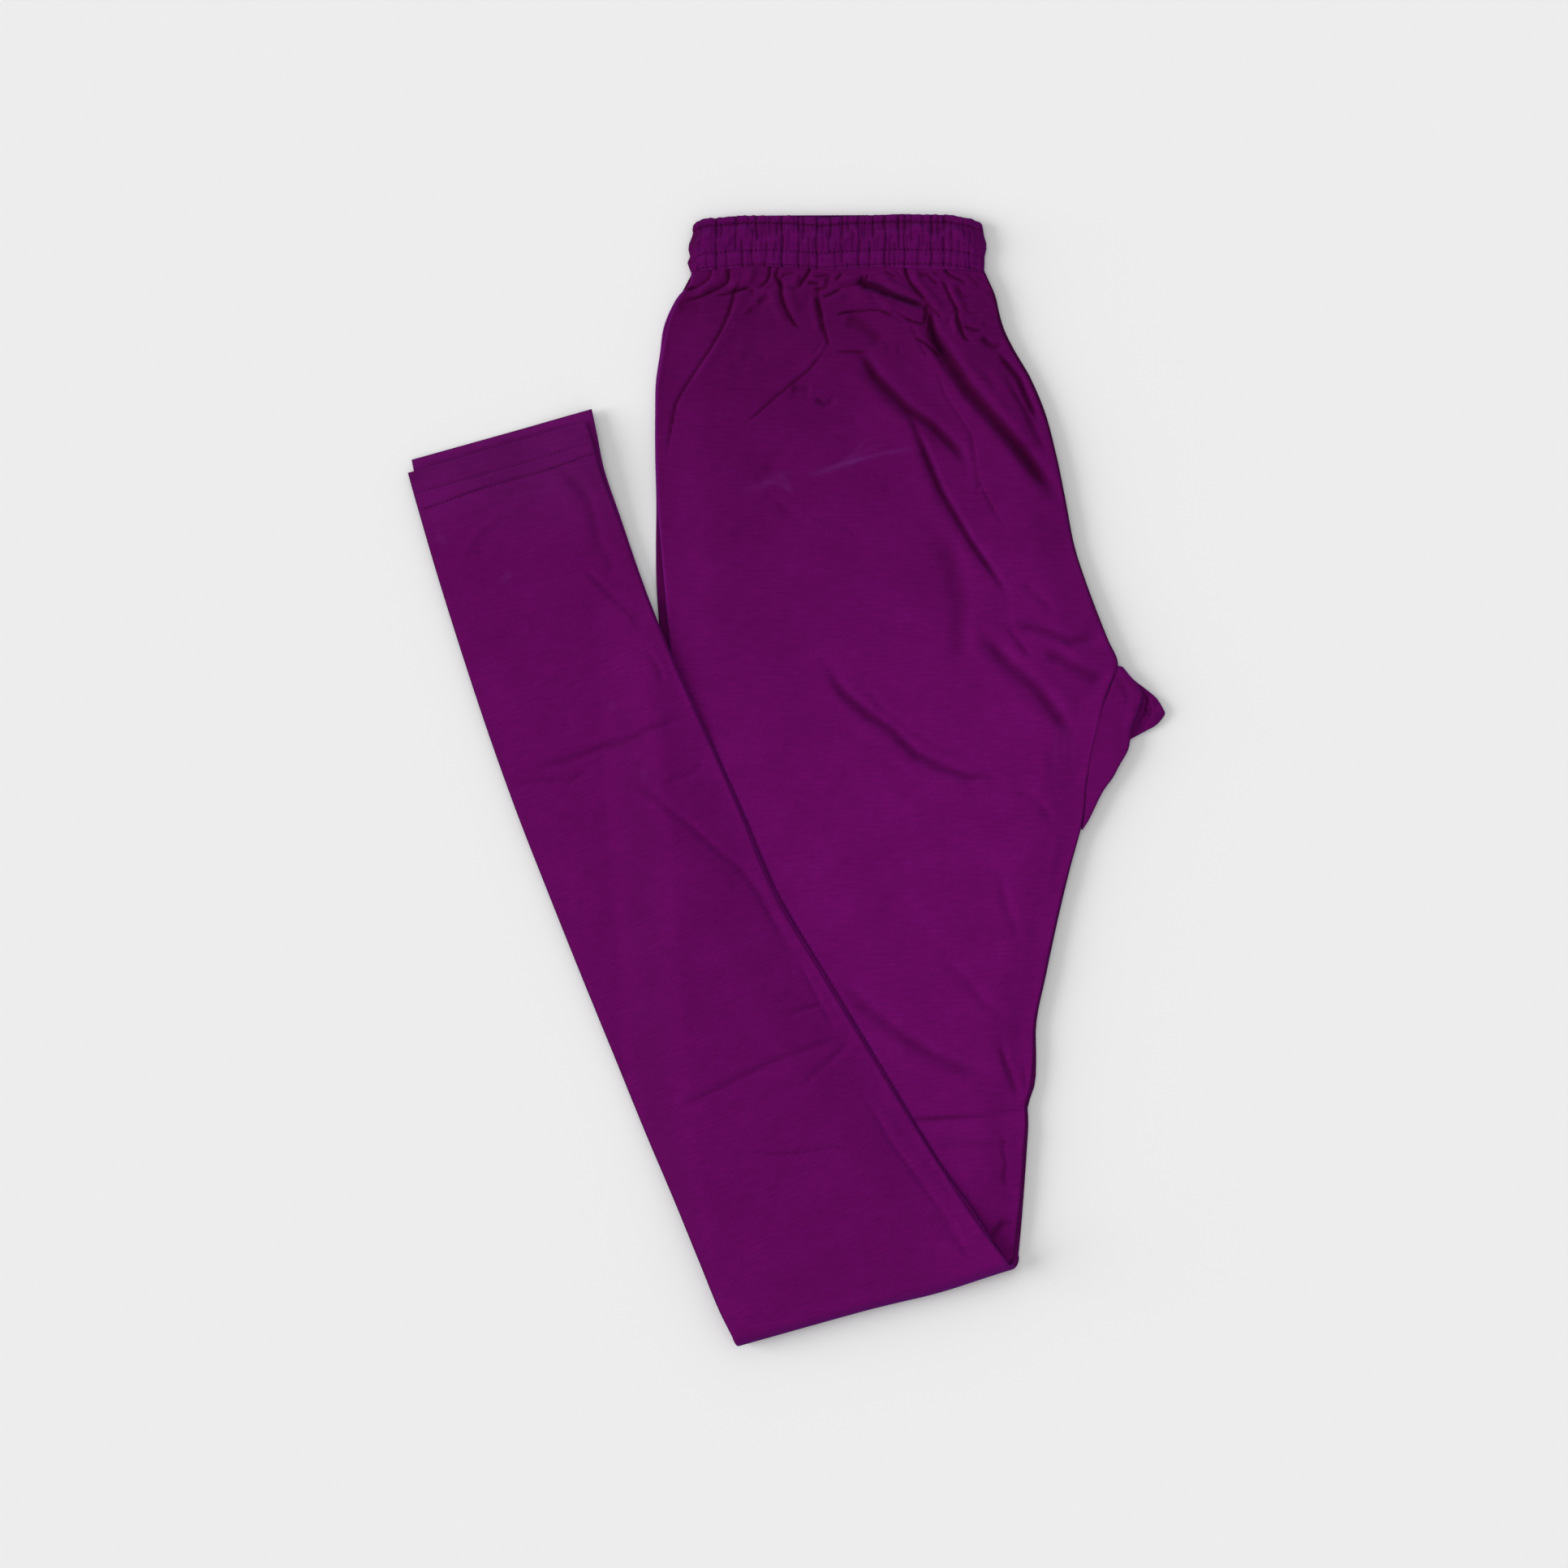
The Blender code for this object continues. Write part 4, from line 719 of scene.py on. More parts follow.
# the open edges at each end of the tube: two loops that lie close together
def rimGroups(rims):
    loops = []
    left = set(rims)
    while left:
        loop = {left.pop()}
        front = list(loop)
        while front:
            edge = front.pop()
            for vert in edge.verts:
                for other in vert.link_edges:
                    if other in left:
                        left.remove(other)
                        loop.add(other)
                        front.append(other)
        loops.append(list(loop))

    def middle(loop):
        return sum((v.co for e in loop for v in e.verts), start=loop[0].verts[0].co * 0) / (2 * len(loop))

    pairs = []
    while loops:
        first = loops.pop()
        mate = min(loops, key=lambda other: (middle(other) - middle(first)).length)
        loops.remove(mate)
        pairs.append(first + mate)
    return pairs


# Outside and inside of a tube's wall, joined round its two open ends. With no inside the ends are closed
def wallObject(name, outside, inside, material):
    bm = bmesh.new()
    bm.from_mesh(outside)
    if inside:
        bm.from_mesh(inside)
    bmesh.ops.remove_doubles(bm, verts=bm.verts[:], dist=0.000002)
    rims = [e for e in bm.edges if e.is_boundary]
    if inside:
        for side in rimGroups(rims):
            bmesh.ops.bridge_loops(bm, edges=side)
    else:
        bmesh.ops.holes_fill(bm, edges=rims, sides=0)
    bmesh.ops.recalc_face_normals(bm, faces=bm.faces[:])
    mesh = bpy.data.meshes.new(name)
    bm.to_mesh(mesh)
    bm.free()
    for spare in (outside, inside):
        if spare:
            bpy.data.meshes.remove(spare)
    mesh.shade_smooth()
    mesh.set_sharp_from_angle(angle=math.radians(60))
    mesh.materials.append(material)
    piece = bpy.data.objects.new(name, mesh)
    scene.collection.objects.link(piece)
    return piece


# Materials
def node(tree, kind, **values):
    made = tree.nodes.new(kind)
    for key, value in values.items():
        setattr(made, key, value)
    return made


# Jersey: fine rows of loops, streaks of uneven yarn and soft patches. Gives a shade and a height
def knitGroup():
    tree = bpy.data.node_groups.new("jerseyKnit", "ShaderNodeTree")
    tree.interface.new_socket("Cloth place", in_out="INPUT", socket_type="NodeSocketVector")
    tree.interface.new_socket("Shade", in_out="OUTPUT", socket_type="NodeSocketFloat")
    tree.interface.new_socket("Patch", in_out="OUTPUT", socket_type="NodeSocketFloat")
    tree.interface.new_socket("Height", in_out="OUTPUT", socket_type="NodeSocketFloat")
    place = node(tree, "NodeGroupInput")
    result = node(tree, "NodeGroupOutput")
    link = tree.links.new

    def streaks(scale, detail):
        stretch = node(tree, "ShaderNodeMapping")
        stretch.inputs["Scale"].default_value = scale
        noise = node(tree, "ShaderNodeTexNoise")
        noise.inputs["Scale"].default_value = 1.0
        noise.inputs["Detail"].default_value = detail
        link(place.outputs[0], stretch.inputs["Vector"])
        link(stretch.outputs[0], noise.inputs["Vector"])
        return noise.outputs[0]

    def mixed(a, b, operation="ADD"):
        made = node(tree, "ShaderNodeMath", operation=operation)
        for socket, value in zip(made.inputs, (a, b)):
            if isinstance(value, float):
                socket.default_value = value
            else:
                link(value, socket)
        return made.outputs[0]

    courses = streaks((110.0, 720.0, 1.0), 3.0)       # rows across the leg
    wales = streaks((760.0, 160.0, 1.0), 2.0)         # lines down the leg
    grain = streaks((1300.0, 1300.0, 1.0), 1.0)
    patches = streaks((28.0, 40.0, 1.0), 3.0)
    fine = mixed(mixed(mixed(courses, 0.5, "MULTIPLY"), mixed(wales, 0.28, "MULTIPLY")),
                 mixed(grain, 0.22, "MULTIPLY"))
    link(fine, result.inputs["Shade"])
    link(patches, result.inputs["Patch"])
    link(fine, result.inputs["Height"])
    return tree


knit = knitGroup()


def clothMaterial(name, base, bright, sheenViolet):
    material = bpy.data.materials.new(name)
    material.use_nodes = True
    tree = material.node_tree
    link = tree.links.new
    shader = tree.nodes["Principled BSDF"]
    shader.inputs["Roughness"].default_value = 0.95
    shader.inputs["Specular IOR Level"].default_value = 0.02
    shader.inputs["Sheen Weight"].default_value = 0.03
    shader.inputs["Sheen Roughness"].default_value = 0.5
    shader.inputs["Sheen Tint"].default_value = (0.45, 0.25, 1.0, 1.0)
    uv = node(tree, "ShaderNodeUVMap", uv_map="cloth")
    jersey = node(tree, "ShaderNodeGroup")
    jersey.node_tree = knit
    link(uv.outputs[0], jersey.inputs[0])
    # yarn shade, up to a quarter either way
    shade = node(tree, "ShaderNodeMapRange")
    shade.inputs["From Min"].default_value = 0.25
    shade.inputs["From Max"].default_value = 0.75
    shade.inputs["To Min"].default_value = 0.77
    shade.inputs["To Max"].default_value = 1.23
    link(jersey.outputs["Shade"], shade.inputs["Value"])
    patch = node(tree, "ShaderNodeMapRange")
    patch.inputs["From Min"].default_value = 0.3
    patch.inputs["From Max"].default_value = 0.7
    link(jersey.outputs["Patch"], patch.inputs["Value"])
    body = node(tree, "ShaderNodeMix", data_type="RGBA")
    body.inputs["A"].default_value = (*base, 1.0)
    body.inputs["B"].default_value = (*bright, 1.0)
    link(patch.outputs[0], body.inputs["Factor"])
    shaded = node(tree, "ShaderNodeMix", data_type="RGBA", blend_type="MULTIPLY")
    shaded.inputs["Factor"].default_value = 1.0
    link(body.outputs["Result"], shaded.inputs["A"])
    link(shade.outputs[0], shaded.inputs["B"])
    toned = node(tree, "ShaderNodeMix", data_type="RGBA", blend_type="MULTIPLY")
    toned.inputs["Factor"].default_value = 1.0
    # the painted tone and shade of each piece's points
    toneAndShade = node(tree, "ShaderNodeAttribute", attribute_name="toneAndShade")
    shadeTint = node(tree, "ShaderNodeValToRGB")      # the painted shade turns redder as it deepens
    shadeTint.color_ramp.elements[0].color = (0.04, 0.03, 0.0, 1.0)
    shadeTint.color_ramp.elements[1].color = (1.0, 1.0, 1.0, 1.0)
    for place, colour in ((0.45, (0.46, 0.40, 0.34, 1.0)), (0.62, (0.62, 0.60, 0.58, 1.0))):
        shadeTint.color_ramp.elements.new(place).color = colour
    link(toneAndShade.outputs["Fac"], shadeTint.inputs["Fac"])
    link(shadeTint.outputs["Color"], toned.inputs["B"])
    # pale rub marks, and a painted violet sheen mixed into the colour where the cloth turns away
    rub = node(tree, "ShaderNodeAttribute", attribute_name="rub")
    marked = node(tree, "ShaderNodeMix", data_type="RGBA")
    marked.inputs["B"].default_value = (0.16, 0.03, 0.22, 1.0)
    link(rub.outputs["Fac"], marked.inputs["Factor"])
    link(toned.outputs["Result"], marked.inputs["A"])
    facing = node(tree, "ShaderNodeLayerWeight")
    facing.inputs["Blend"].default_value = 0.4
    turned = node(tree, "ShaderNodeMix", data_type="RGBA")
    turned.inputs["B"].default_value = (*sheenViolet, 1.0)
    link(facing.outputs["Facing"], turned.inputs["Factor"])
    link(shaded.outputs["Result"], turned.inputs["A"])
    link(turned.outputs["Result"], toned.inputs["A"])
    link(marked.outputs["Result"], shader.inputs["Base Color"])
    bump = node(tree, "ShaderNodeBump")
    bump.inputs["Strength"].default_value = 0.35
    bump.inputs["Distance"].default_value = 0.0003
    link(jersey.outputs["Height"], bump.inputs["Height"])
    link(bump.outputs[0], shader.inputs["Normal"])
    return material


legCloth = clothMaterial("legCloth", (0.114, 0.0023, 0.094), (0.127, 0.0028, 0.106), (0.10, 0.008, 0.16))
bandCloth = clothMaterial("bandCloth", (0.110, 0.0024, 0.096), (0.122, 0.0029, 0.107), (0.09, 0.008, 0.15))
threadMaterial = bpy.data.materials.new("sewingThread")
threadMaterial.use_nodes = True
threadShader = threadMaterial.node_tree.nodes["Principled BSDF"]
threadShader.inputs["Base Color"].default_value = (0.05, 0.002, 0.04, 1.0)
threadShader.inputs["Roughness"].default_value = 0.8
threadShader.inputs["Specular IOR Level"].default_value = 0.05
print("materials made")

# Waistband: a casing gathered on elastic, four walls in all
band = {
    "top": [(-50.0, 292.6), (-47.5, 295.4), (-43.0, 297.1), (-36.0, 297.3), (-25.0, 298.5), (2.0, 298.5),
            (19.0, 297.0), (31.0, 298.2), (59.0, 299.2), (86.0, 299.0), (91.0, 298.0), (98.0, 296.8),
            (104.2, 294.0)],
    "bottom": [(-50.7, 268.9), (-32.2, 270.2), (-15.0, 271.8), (2.1, 271.0), (24.9, 269.5), (41.3, 271.1),
               (68.4, 270.5), (92.5, 269.8), (105.3, 268.3)],
    # part of the way down, left x, right x, puff
    "rows": [(0.00, -49.4, 103.6, 0.0), (0.08, -49.8, 104.1, 0.5), (0.15, -49.4, 104.3, 0.05),
             (0.25, -50.3, 104.8, 0.8), (0.38, -51.6, 105.8, 1.35), (0.5, -51.9, 105.9, 1.1),
             (0.66, -51.0, 104.9, 0.1), (0.8, -52.4, 104.9, 0.7), (0.94, -51.2, 104.7, 0.05),
             (1.0, -50.6, 105.2, 0.0)],
    # part of the way down, how far the cloth has rolled in at the top and bottom edges
    "rolledTop": [(0.0, 0.5), (0.005, 0.3), (0.012, 0.12), (0.022, 0.03)],
    "rolledBottom": [(0.995, 0.2), (1.0, 0.5)],
    "wall": 1.1, "slit": 0.4, "puff": 1.3, "depth": 27.8, "clothDepth": 28.0,
    "stitch": (1.5, 0.8, 0.36),             # length, gap, thickness
    "stitchRows": (4.1, 18.7, 26.2),        # below the top edge
    "columns": 430, "plainColumns": 30, "rings": 62, "insideRings": 8,
}
gatherEnd = 27       # a gather that ends here runs into the leg
# gathers: x, sideways drift, start and end below the top edge, depth
gathers = [
    (-45.9, 0.4, 0, 14, 0.45), (-42.0, -0.3, 15, 27, 0.4), (-37.3, 0.2, 0, 27, 0.95),
    (-34.6, 0.3, 2, 12, 0.5), (-31.6, -0.3, 14, 27, 0.55), (-29.0, 0.2, 4, 17, 0.35),
    (-26.8, 0.3, 0, 19, 0.85), (-23.5, -0.2, 12, 27, 0.8),
    (-20.4, 0.4, 0, 13, 0.5), (-18.2, 0.5, 6, 27, 0.6), (-15.8, -0.4, 0, 15, 0.75), (-12.9, 0.2, 3, 18, 0.4),
    (-11.0, 0.5, 13, 27, 0.7), (-8.6, -0.2, 0, 12, 0.45), (-5.2, 0.3, 2, 20, 0.45), (-2.4, -0.4, 0, 27, 1.0),
    (1.4, 0.2, 4, 19, 0.35), (4.0, 0.3, 0, 10, 0.5), (6.4, -0.3, 0, 27, 0.8), (8.9, 0.2, 0, 14, 0.7),
    (11.9, -0.2, 9, 27, 0.65), (15.9, 0.4, 0, 27, 0.85), (19.4, -0.3, 2, 18, 0.4), (22.9, 0.6, 0, 20, 0.75),
    (25.9, -0.3, 15, 27, 0.55), (29.3, 0.2, 0, 26, 0.75), (32.6, -0.2, 0, 12, 0.5), (35.0, 0.2, 6, 20, 0.4),
    (38.2, -0.4, 0, 27, 0.85), (41.4, 0.2, 0, 15, 0.45), (43.9, 0.2, 13, 27, 0.6), (45.8, -0.2, 0, 14, 0.8),
    (49.0, 0.3, 4, 19, 0.35), (52.1, -0.4, 0, 27, 0.95), (54.6, 0.2, 12, 27, 0.6), (57.3, 0.2, 14, 27, 0.45),
    (59.2, -0.3, 0, 19, 0.8), (62.4, 0.3, 0, 27, 0.75), (65.9, -0.2, 0, 16, 0.6), (69.9, 0.5, 10, 27, 0.6),
    (72.2, -0.2, 0, 18, 0.55), (76.4, 0.3, 0, 27, 0.9), (80.2, -0.2, 0, 14, 0.55), (83.1, 0.2, 0, 27, 0.85),
    (87.2, -0.4, 3, 27, 0.5), (91.0, 0.3, 12, 27, 0.5), (93.6, -0.2, 0, 16, 0.55), (96.8, 0.2, 6, 27, 0.6),
    (100.4, -0.3, 8, 27, 0.5),
]
# the elastic's rolled edge shows through as a wavy ridge: x, distance below the top edge
elasticRidge = [(-49.7, 12.4), (-44.6, 9.4), (-39.2, 8.6), (-35.4, 13.4), (-31.6, 14.2), (-28.2, 9.0),
                (-24.9, 7.4), (-20.2, 8.2), (-17.2, 12.4), (-13.4, 14.6), (-6.7, 14.2), (-3.0, 11.0),
                (0.0, 7.6), (4.6, 7.4), (8.0, 11.8), (11.0, 12.6), (16.0, 9.8), (20.0, 10.6), (24.0, 14.2),
                (28.0, 15.0), (31.2, 12.0), (35.3, 7.2), (38.0, 9.0), (41.0, 13.6), (45.2, 13.8),
                (49.6, 10.6), (55.0, 10.0), (62.0, 10.8), (66.0, 8.6), (70.0, 7.4), (74.0, 9.6),
                (77.4, 13.8), (81.4, 13.0), (84.6, 9.2), (88.8, 7.6), (92.0, 9.0), (95.2, 13.6),
                (98.8, 16.2), (102.0, 14.6), (105.0, 11.2)]


def bandTopAt(x):
    puckers = 0.22 * np.sin(1.37 * x) * (0.6 + 0.4 * np.sin(0.31 * x + 1.0))
    return np.interp(x, [p[0] for p in band["top"]], [p[1] for p in band["top"]]) + puckers


def bandBottomAt(x):
    return np.interp(x, [p[0] for p in band["bottom"]], [p[1] for p in band["bottom"]])


def bandRow(down):
    rows = np.array(band["rows"])
    return [float(np.interp(down, rows[:, 0], rows[:, k])) for k in (1, 2, 3)]


# 1 in the dimples along the band's stitch rows, 0 away from them
def stitchLines(x, t):
    rows = sum(np.exp(-((t - place) / 0.5) ** 2) for place in band["stitchRows"])
    return rows * (0.6 + 0.4 * np.cos(2.0 * math.pi * x / stitchPitch))


# relief of the gathered top wall, t is the distance below the band's top edge
def bandRelief(x, t):
    height = np.zeros(x.shape)
    for place, drift, start, end, depth in gathers:
        line = place + drift * np.sin((t - start) * 0.35)
        fade = smooth((t - start) / 2.0 + (1.0 if start == 0 else 0.0))
        fade = fade * smooth((end - t) / 2.0 + (1.0 if end == gatherEnd else 0.0))
        off = np.abs(x - line)
        height -= 0.8 * depth * fade * (0.75 * np.exp(-(off / 0.4) ** 2) + 0.25 * np.exp(-(off / 1.3) ** 2))
    # small puckers between them
    rng = np.random.default_rng(5)
    for _ in range(90):
        place = rng.uniform(-49, 104)
        middle = rng.uniform(2, 26)
        reach = rng.uniform(2.0, 6.0)
        off = np.abs(x - place - 0.3 * np.sin(t * 0.5 + place))
        height -= rng.uniform(0.12, 0.3) * np.exp(-(off / rng.uniform(0.3, 0.6)) ** 2
                                                  - ((t - middle) / reach) ** 2)
    ridge = softLine(x, elasticRidge)
    above = np.clip((ridge - t) / 3.5, 0.0, 1.0)
    height += 0.55 * np.exp(-((t - ridge) / 2.3) ** 2) - 0.35 * smooth(above) * smooth((t - 3.0) / 2.0)
    height = np.maximum(height, -1.9)
    return height - 0.3 * stitchLines(x, t)


# Rings of the band, from its rolled top edge to its bottom edge
def bandRings(inside):
    total = overZ + legThick
    wall = band["wall"]
    slit = band["slit"]
    few = band["plainColumns"]
    count = band["insideRings"] if inside else band["rings"]
    downs = band["rolledTop"] + [(d, 0.0) for d in np.linspace(0.035, 0.985, count)] + band["rolledBottom"]
    rings = []
    for down, rim in downs:
        left, right, puff = bandRow(down)
        turnX = right - total / 2.0
        startX = left + edgeRound

        def put(x, z):
            x = np.asarray(x, dtype=float)
            y = bandTopAt(x) + (bandBottomAt(x) - bandTopAt(x)) * down
            return np.column_stack([x, y, np.broadcast_to(z, x.shape)])

        def line(x0, x1, z, number):
            return put(np.linspace(x0, x1, number + 1), z)

        def turn(radius, number, downwards):
            angle = math.pi / 2 - math.pi * np.arange(1, number) / number
            angle = angle if downwards else -angle
            return put(turnX + radius * np.cos(angle), total / 2.0 + radius * np.sin(angle))

        def leftEdge(z0, z1, reach):
            angle = math.pi * np.arange(1, 6) / 6
            return put(startX - reach * np.sin(angle), (z0 + z1) / 2 - (z1 - z0) / 2 * np.cos(angle))

        if not inside:
            topX = np.linspace(startX, turnX, band["columns"] + 1)
            t = (bandTopAt(topX) - bandBottomAt(topX)) * down
            relief = bandRelief(topX, t)
            fromEnds = np.minimum(topX - startX, turnX - topX)
            raised = waistLoft * smooth((fromEnds + 0.4) / 9.0)
            free = 0.3 + 0.7 * smooth(fromEnds / 4.0)
            topZ = total + raised + (puff * band["puff"] + relief) * free - rim * (down < 0.5)
            face = put(topX, topZ)
            face[:, 1] += 0.5 * np.minimum(relief, 0.0) * (1.0 - smooth(t / 3.0))
            ring = [face, turn(total / 2.0 - rim, 12, True), line(turnX, startX, rim, few),
                    leftEdge(rim, legThick - rim, edgeRound), line(startX, turnX, legThick - rim, few),
                    turn(0.15 + rim, 4, False), line(turnX, startX, overZ + rim, few),
                    leftEdge(overZ + rim, total - rim, edgeRound), face[:1]]
        else:
            high = total - wall + rim
            low = wall - rim
            topCavity = line(startX, turnX, high, few)
            ring = [topCavity, turn(total / 2.0 - wall + rim, 12, True), line(turnX, startX, low, few),
                    leftEdge(low, wall + slit + rim, 0.3), line(startX, turnX, wall + slit + rim, few),
                    turn(total / 2.0 - wall - slit - rim, 6, False),
                    line(turnX, startX, total - wall - slit - rim, few),
                    leftEdge(total - wall - slit - rim, high, 0.3), topCavity[:1]]
        rings.append(np.vstack(ring))
    return np.array(rings), band["clothDepth"] * np.array(downs)[:, 0]


waistband = wallObject("waistbandCloth", gridMesh("bandOut", *bandRings(False)),
                       gridMesh("bandIn", *bandRings(True)), bandCloth)
print("waistband", len(waistband.data.polygons))

# Legs: the face that shows gets fine columns
fineOver = np.linspace(0, 1, 181)
fineUnder = np.linspace(0, 1, 121)
plain = np.linspace(0, 1, 17)
overOut = legRings(overLeg, plain, fineOver, overLeg["mesh"], False)
overIn = legRings(overLeg, plain, plain, insideMesh, True)
legOver = wallObject("legOverCloth", gridMesh("overOut", *overOut), gridMesh("overIn", *overIn), legCloth)
print("over leg", len(legOver.data.polygons))
underOut = legRings(underLeg, fineUnder, plain, underLeg["mesh"], False)
underIn = legRings(underLeg, plain, plain, insideMesh, True)
legUnder = wallObject("legUnderCloth", gridMesh("underOut", *underOut), gridMesh("underIn", *underIn),
                      legCloth)
print("under leg", len(legUnder.data.polygons))

# Gusset halves: seam x, seam y, outer x, outer y
seamGap = 0.12
gussetOver = {
    "rows": [(175.0, 60.6, 176.8, 60.2), (172.2, 52.4, 184.4, 52.2), (169.6, 45.8, 188.2, 46.0),
             (166.4, 37.0, 186.0, 37.0), (163.9, 26.2, 182.4, 26.0), (161.6, 16.8, 181.0, 16.4),
             (159.9, 9.0, 176.4, 8.0), (159.0, 2.0, 172.6, 1.0), (158.2, -3.9, 168.2, -5.0),
             (157.6, -14.6, 162.8, -15.6), (156.9, -20.6, 159.9, -21.4), (156.0, -26.0, 156.7, -26.4)],
    "z": overZ,
    "folds": [([(177, 56), (180, 51), (186, 45)], 2.0, 0.3, 0),
              ([(174, 56), (178, 49), (182, 40)], 1.2, -0.4, 0),
              ([(168, 30), (174, 20), (172, 6)], 5.0, 0.25, 0),
              ([(184, 44), (182.5, 34), (179, 24)], 2.0, 0.3, 0)],
}
gussetUnder = {
    "rows": [(175.0, 60.6, 178.2, 60.0), (172.6, 53.6, 184.4, 52.8), (170.6, 48.4, 190.4, 48.2),
             (168.8, 43.4, 196.0, 43.4), (167.4, 38.8, 199.3, 38.2), (166.6, 35.6, 200.6, 35.4),
             (165.9, 32.2, 198.8, 32.2), (165.2, 29.2, 195.8, 29.0), (164.5, 26.4, 190.8, 26.2),
             (164.0, 24.2, 186.0, 23.6), (163.3, 22.0, 181.6, 21.0), (161.6, 16.8, 180.2, 15.6),
             (159.9, 9.0, 175.6, 8.0), (158.2, -3.9, 167.2, -5.0), (157.6, -14.6, 162.0, -15.6),
             (156.9, -20.6, 159.2, -21.4), (156.0, -26.0, 156.6, -26.4)],
    "z": underZ,
    "folds": [([(192, 45), (195.5, 38), (192, 30)], 3.0, 0.9, 0),
              ([(188.6, 50), (188, 44), (187.4, 38), (186.4, 32), (184.8, 24)], 0.7, -0.4, 0),
              ([(189.4, 46), (190.4, 42), (189.6, 38), (191.6, 33.4), (194, 32)], 0.7, -0.55, 0),
              ([(189.6, 38), (188.4, 33)], 0.7, -0.7, 0),
              ([(193.4, 43), (195.6, 39.6), (195, 36)], 0.6, -0.6, 0),
              ([(192, 37.4), (193.4, 36)], 0.7, -0.8, 0),
              ([(197, 40.6), (198.6, 36.6), (197, 33)], 0.9, 0.4, 0)],
}


def gussetRings(gusset):
    rows, way = alongTable(gusset["rows"], (1.0, 1.2))
    under = np.linspace(0, 1, 7)
    face = np.linspace(0, 1, 41)
    rings = []
    for row, at in zip(rows, way):
        wide = row[2] - row[0]
        rim = 0.8 * (1.0 - smooth(min(at, way[-1] - at) / 1.2))
        left = row[0:2] + np.array([seamGap, 0.0])

        def bottom(p, rim=rim):
            return np.column_stack([p, np.full(len(p), gusset["z"] + rim)])

        def top(p, rim=rim):
            z = np.full(len(p), gusset["z"] + legThick - rim)
            return np.column_stack([p, z + 1.3 * creaseHeight(gusset["folds"], p[:, 0], p[:, 1])])

        radii = (min(0.4, wide * 0.2), min(1.2, wide * 0.35))
        rings.append(tubeRing(left, row[2:4], radii, bottom, top, under, face, 4))
    return np.array(rings), way


gussetPieces = []
for name, gusset in (("gussetOverCloth", gussetOver), ("gussetUnderCloth", gussetUnder)):
    piece = wallObject(name, gridMesh(name + "Out", *gussetRings(gusset)), None, legCloth)
    gussetPieces.append(piece)
print("gussets made")

# What is painted on the points: how light the cloth is, how much painted shade darkens it, and where it is
# pale
tones = {
    "gusset": 0.87,
    "band": 0.785,
    # painted light on the back hem, against the shade of the front hem's step
    "backHemLight": 1.15,
    "crease": 0.5,      # how much painted shade darkens the deepest crease
    "leftSideShade": 0.45,        # painted shade on slopes that face left, toward the key light, which dims their highlight
}


# the painted value is the cloth's tone, darker toward the waist and the hem, times painted shade deep in
# creases and stitch dents, and painted shade where the cloth faces left, toward the key light
def paint(piece, even, crease, pale):
    co = np.zeros(len(piece.data.vertices) * 3)
    piece.data.vertices.foreach_get("co", co)
    x, y, z = (co.reshape(-1, 3) / mm).T
    normals = np.zeros(len(co))
    piece.data.vertices.foreach_get("normal", normals)
    # painted shade in creases, stitch dents and the gap beside an edge
    toneAndShade = even(x, y) * (1.0 - tones["crease"] * smooth(crease(x, y, z)))
    # painted shade where the cloth faces left, toward the key light
    toneAndShade = toneAndShade * (1.0 - tones["leftSideShade"] * smooth((-normals[0::3] - 0.04) / 0.5))
    for name, values in (("toneAndShade", toneAndShade), ("rub", np.clip(pale(x, y, z), 0.0, 1.0))):
        layer = piece.data.attributes.new(name, "FLOAT", "POINT")
        layer.data.foreach_set("value", values.astype(np.float32))


def nothing(x, y, z):
    return np.zeros(x.shape)


# the turned up half is darker toward its hem, and a little lighter along its right edge
def lowerTone(x, y):
    nearEdge = 1.0 - smooth((edgeAt(rightEdge(underLeg), y) - x) / 40.0)
    shade = 0.89 - 0.09 * smooth((y - 40.0) / 130.0) - 0.085 * smooth((y - 150.0) / 14.0)
    return shade * (1.0 + 0.1 * nearEdge * smooth((90.0 - y) / 60.0))


# the body is lightest at mid thigh and lighter to the right. The back hem takes the turned up half's tone,
# painted lighter against the shade of the front hem's step
def bodyTone(x, y):
    far = np.abs(y + 50.0) / 100.0
    body = 1.0 - np.where(y < -50.0, 0.042, 0.073) * far ** 1.5
    body = body * (1.0 + 0.0006 * np.clip(x - 20.0, -100.0, 100.0)) + 0.06 * smooth((y - 250.0) / 18.0)
    return np.where(x < pastBody, lowerTone(x, y) * tones["backHemLight"], body)


def gussetTone(x, y):
    return bodyTone(x, y) * tones["gusset"]


def bandTone(x, y):
    return np.full(x.shape, tones["band"])


# painted shade deep in the body's creases, and in the back hem's strip beside the front hem's edge
def upperDark(x, y, z):
    dark = -creaseHeight(waistLines, x, y) / 1.15 - creaseHeight(waistTroughs, x, y) / 2.0
    return dark * clearOfFlap(x, y) * (z > topPlyFrom) - creaseHeight(hemGap, x, y)


# painted shade on the turned up half: its creases and the dents of the hem's stitch rows, and a painted
# shadow on the ply beneath beside the over leg's left edge
def lowerDark(x, y, z):
    onTop = z > underLowerZ - drape(x, y) - 1.0
    # painted shadow in the gap beside the over leg's left edge
    shadowBesideEdge = 0.6 * smooth((x + 72.0) / 4.0) * smooth((y - 66.0) / 10.0) * smooth((175.0 - y) / 60.0)
    dashes = 0.6 + 0.4 * np.cos(2.0 * math.pi * x / stitchPitch)
    stitchShade = creaseHeight([(hem["rows"][0], 0.8, 0.4, 0), (hem["rows"][1], 0.8, 0.65, 0)], x, y) * dashes
    return (stitchShade - creaseHeight(lowerFolds, x, y) / 2.2) * onTop + shadowBesideEdge * (z < underPlyTo)


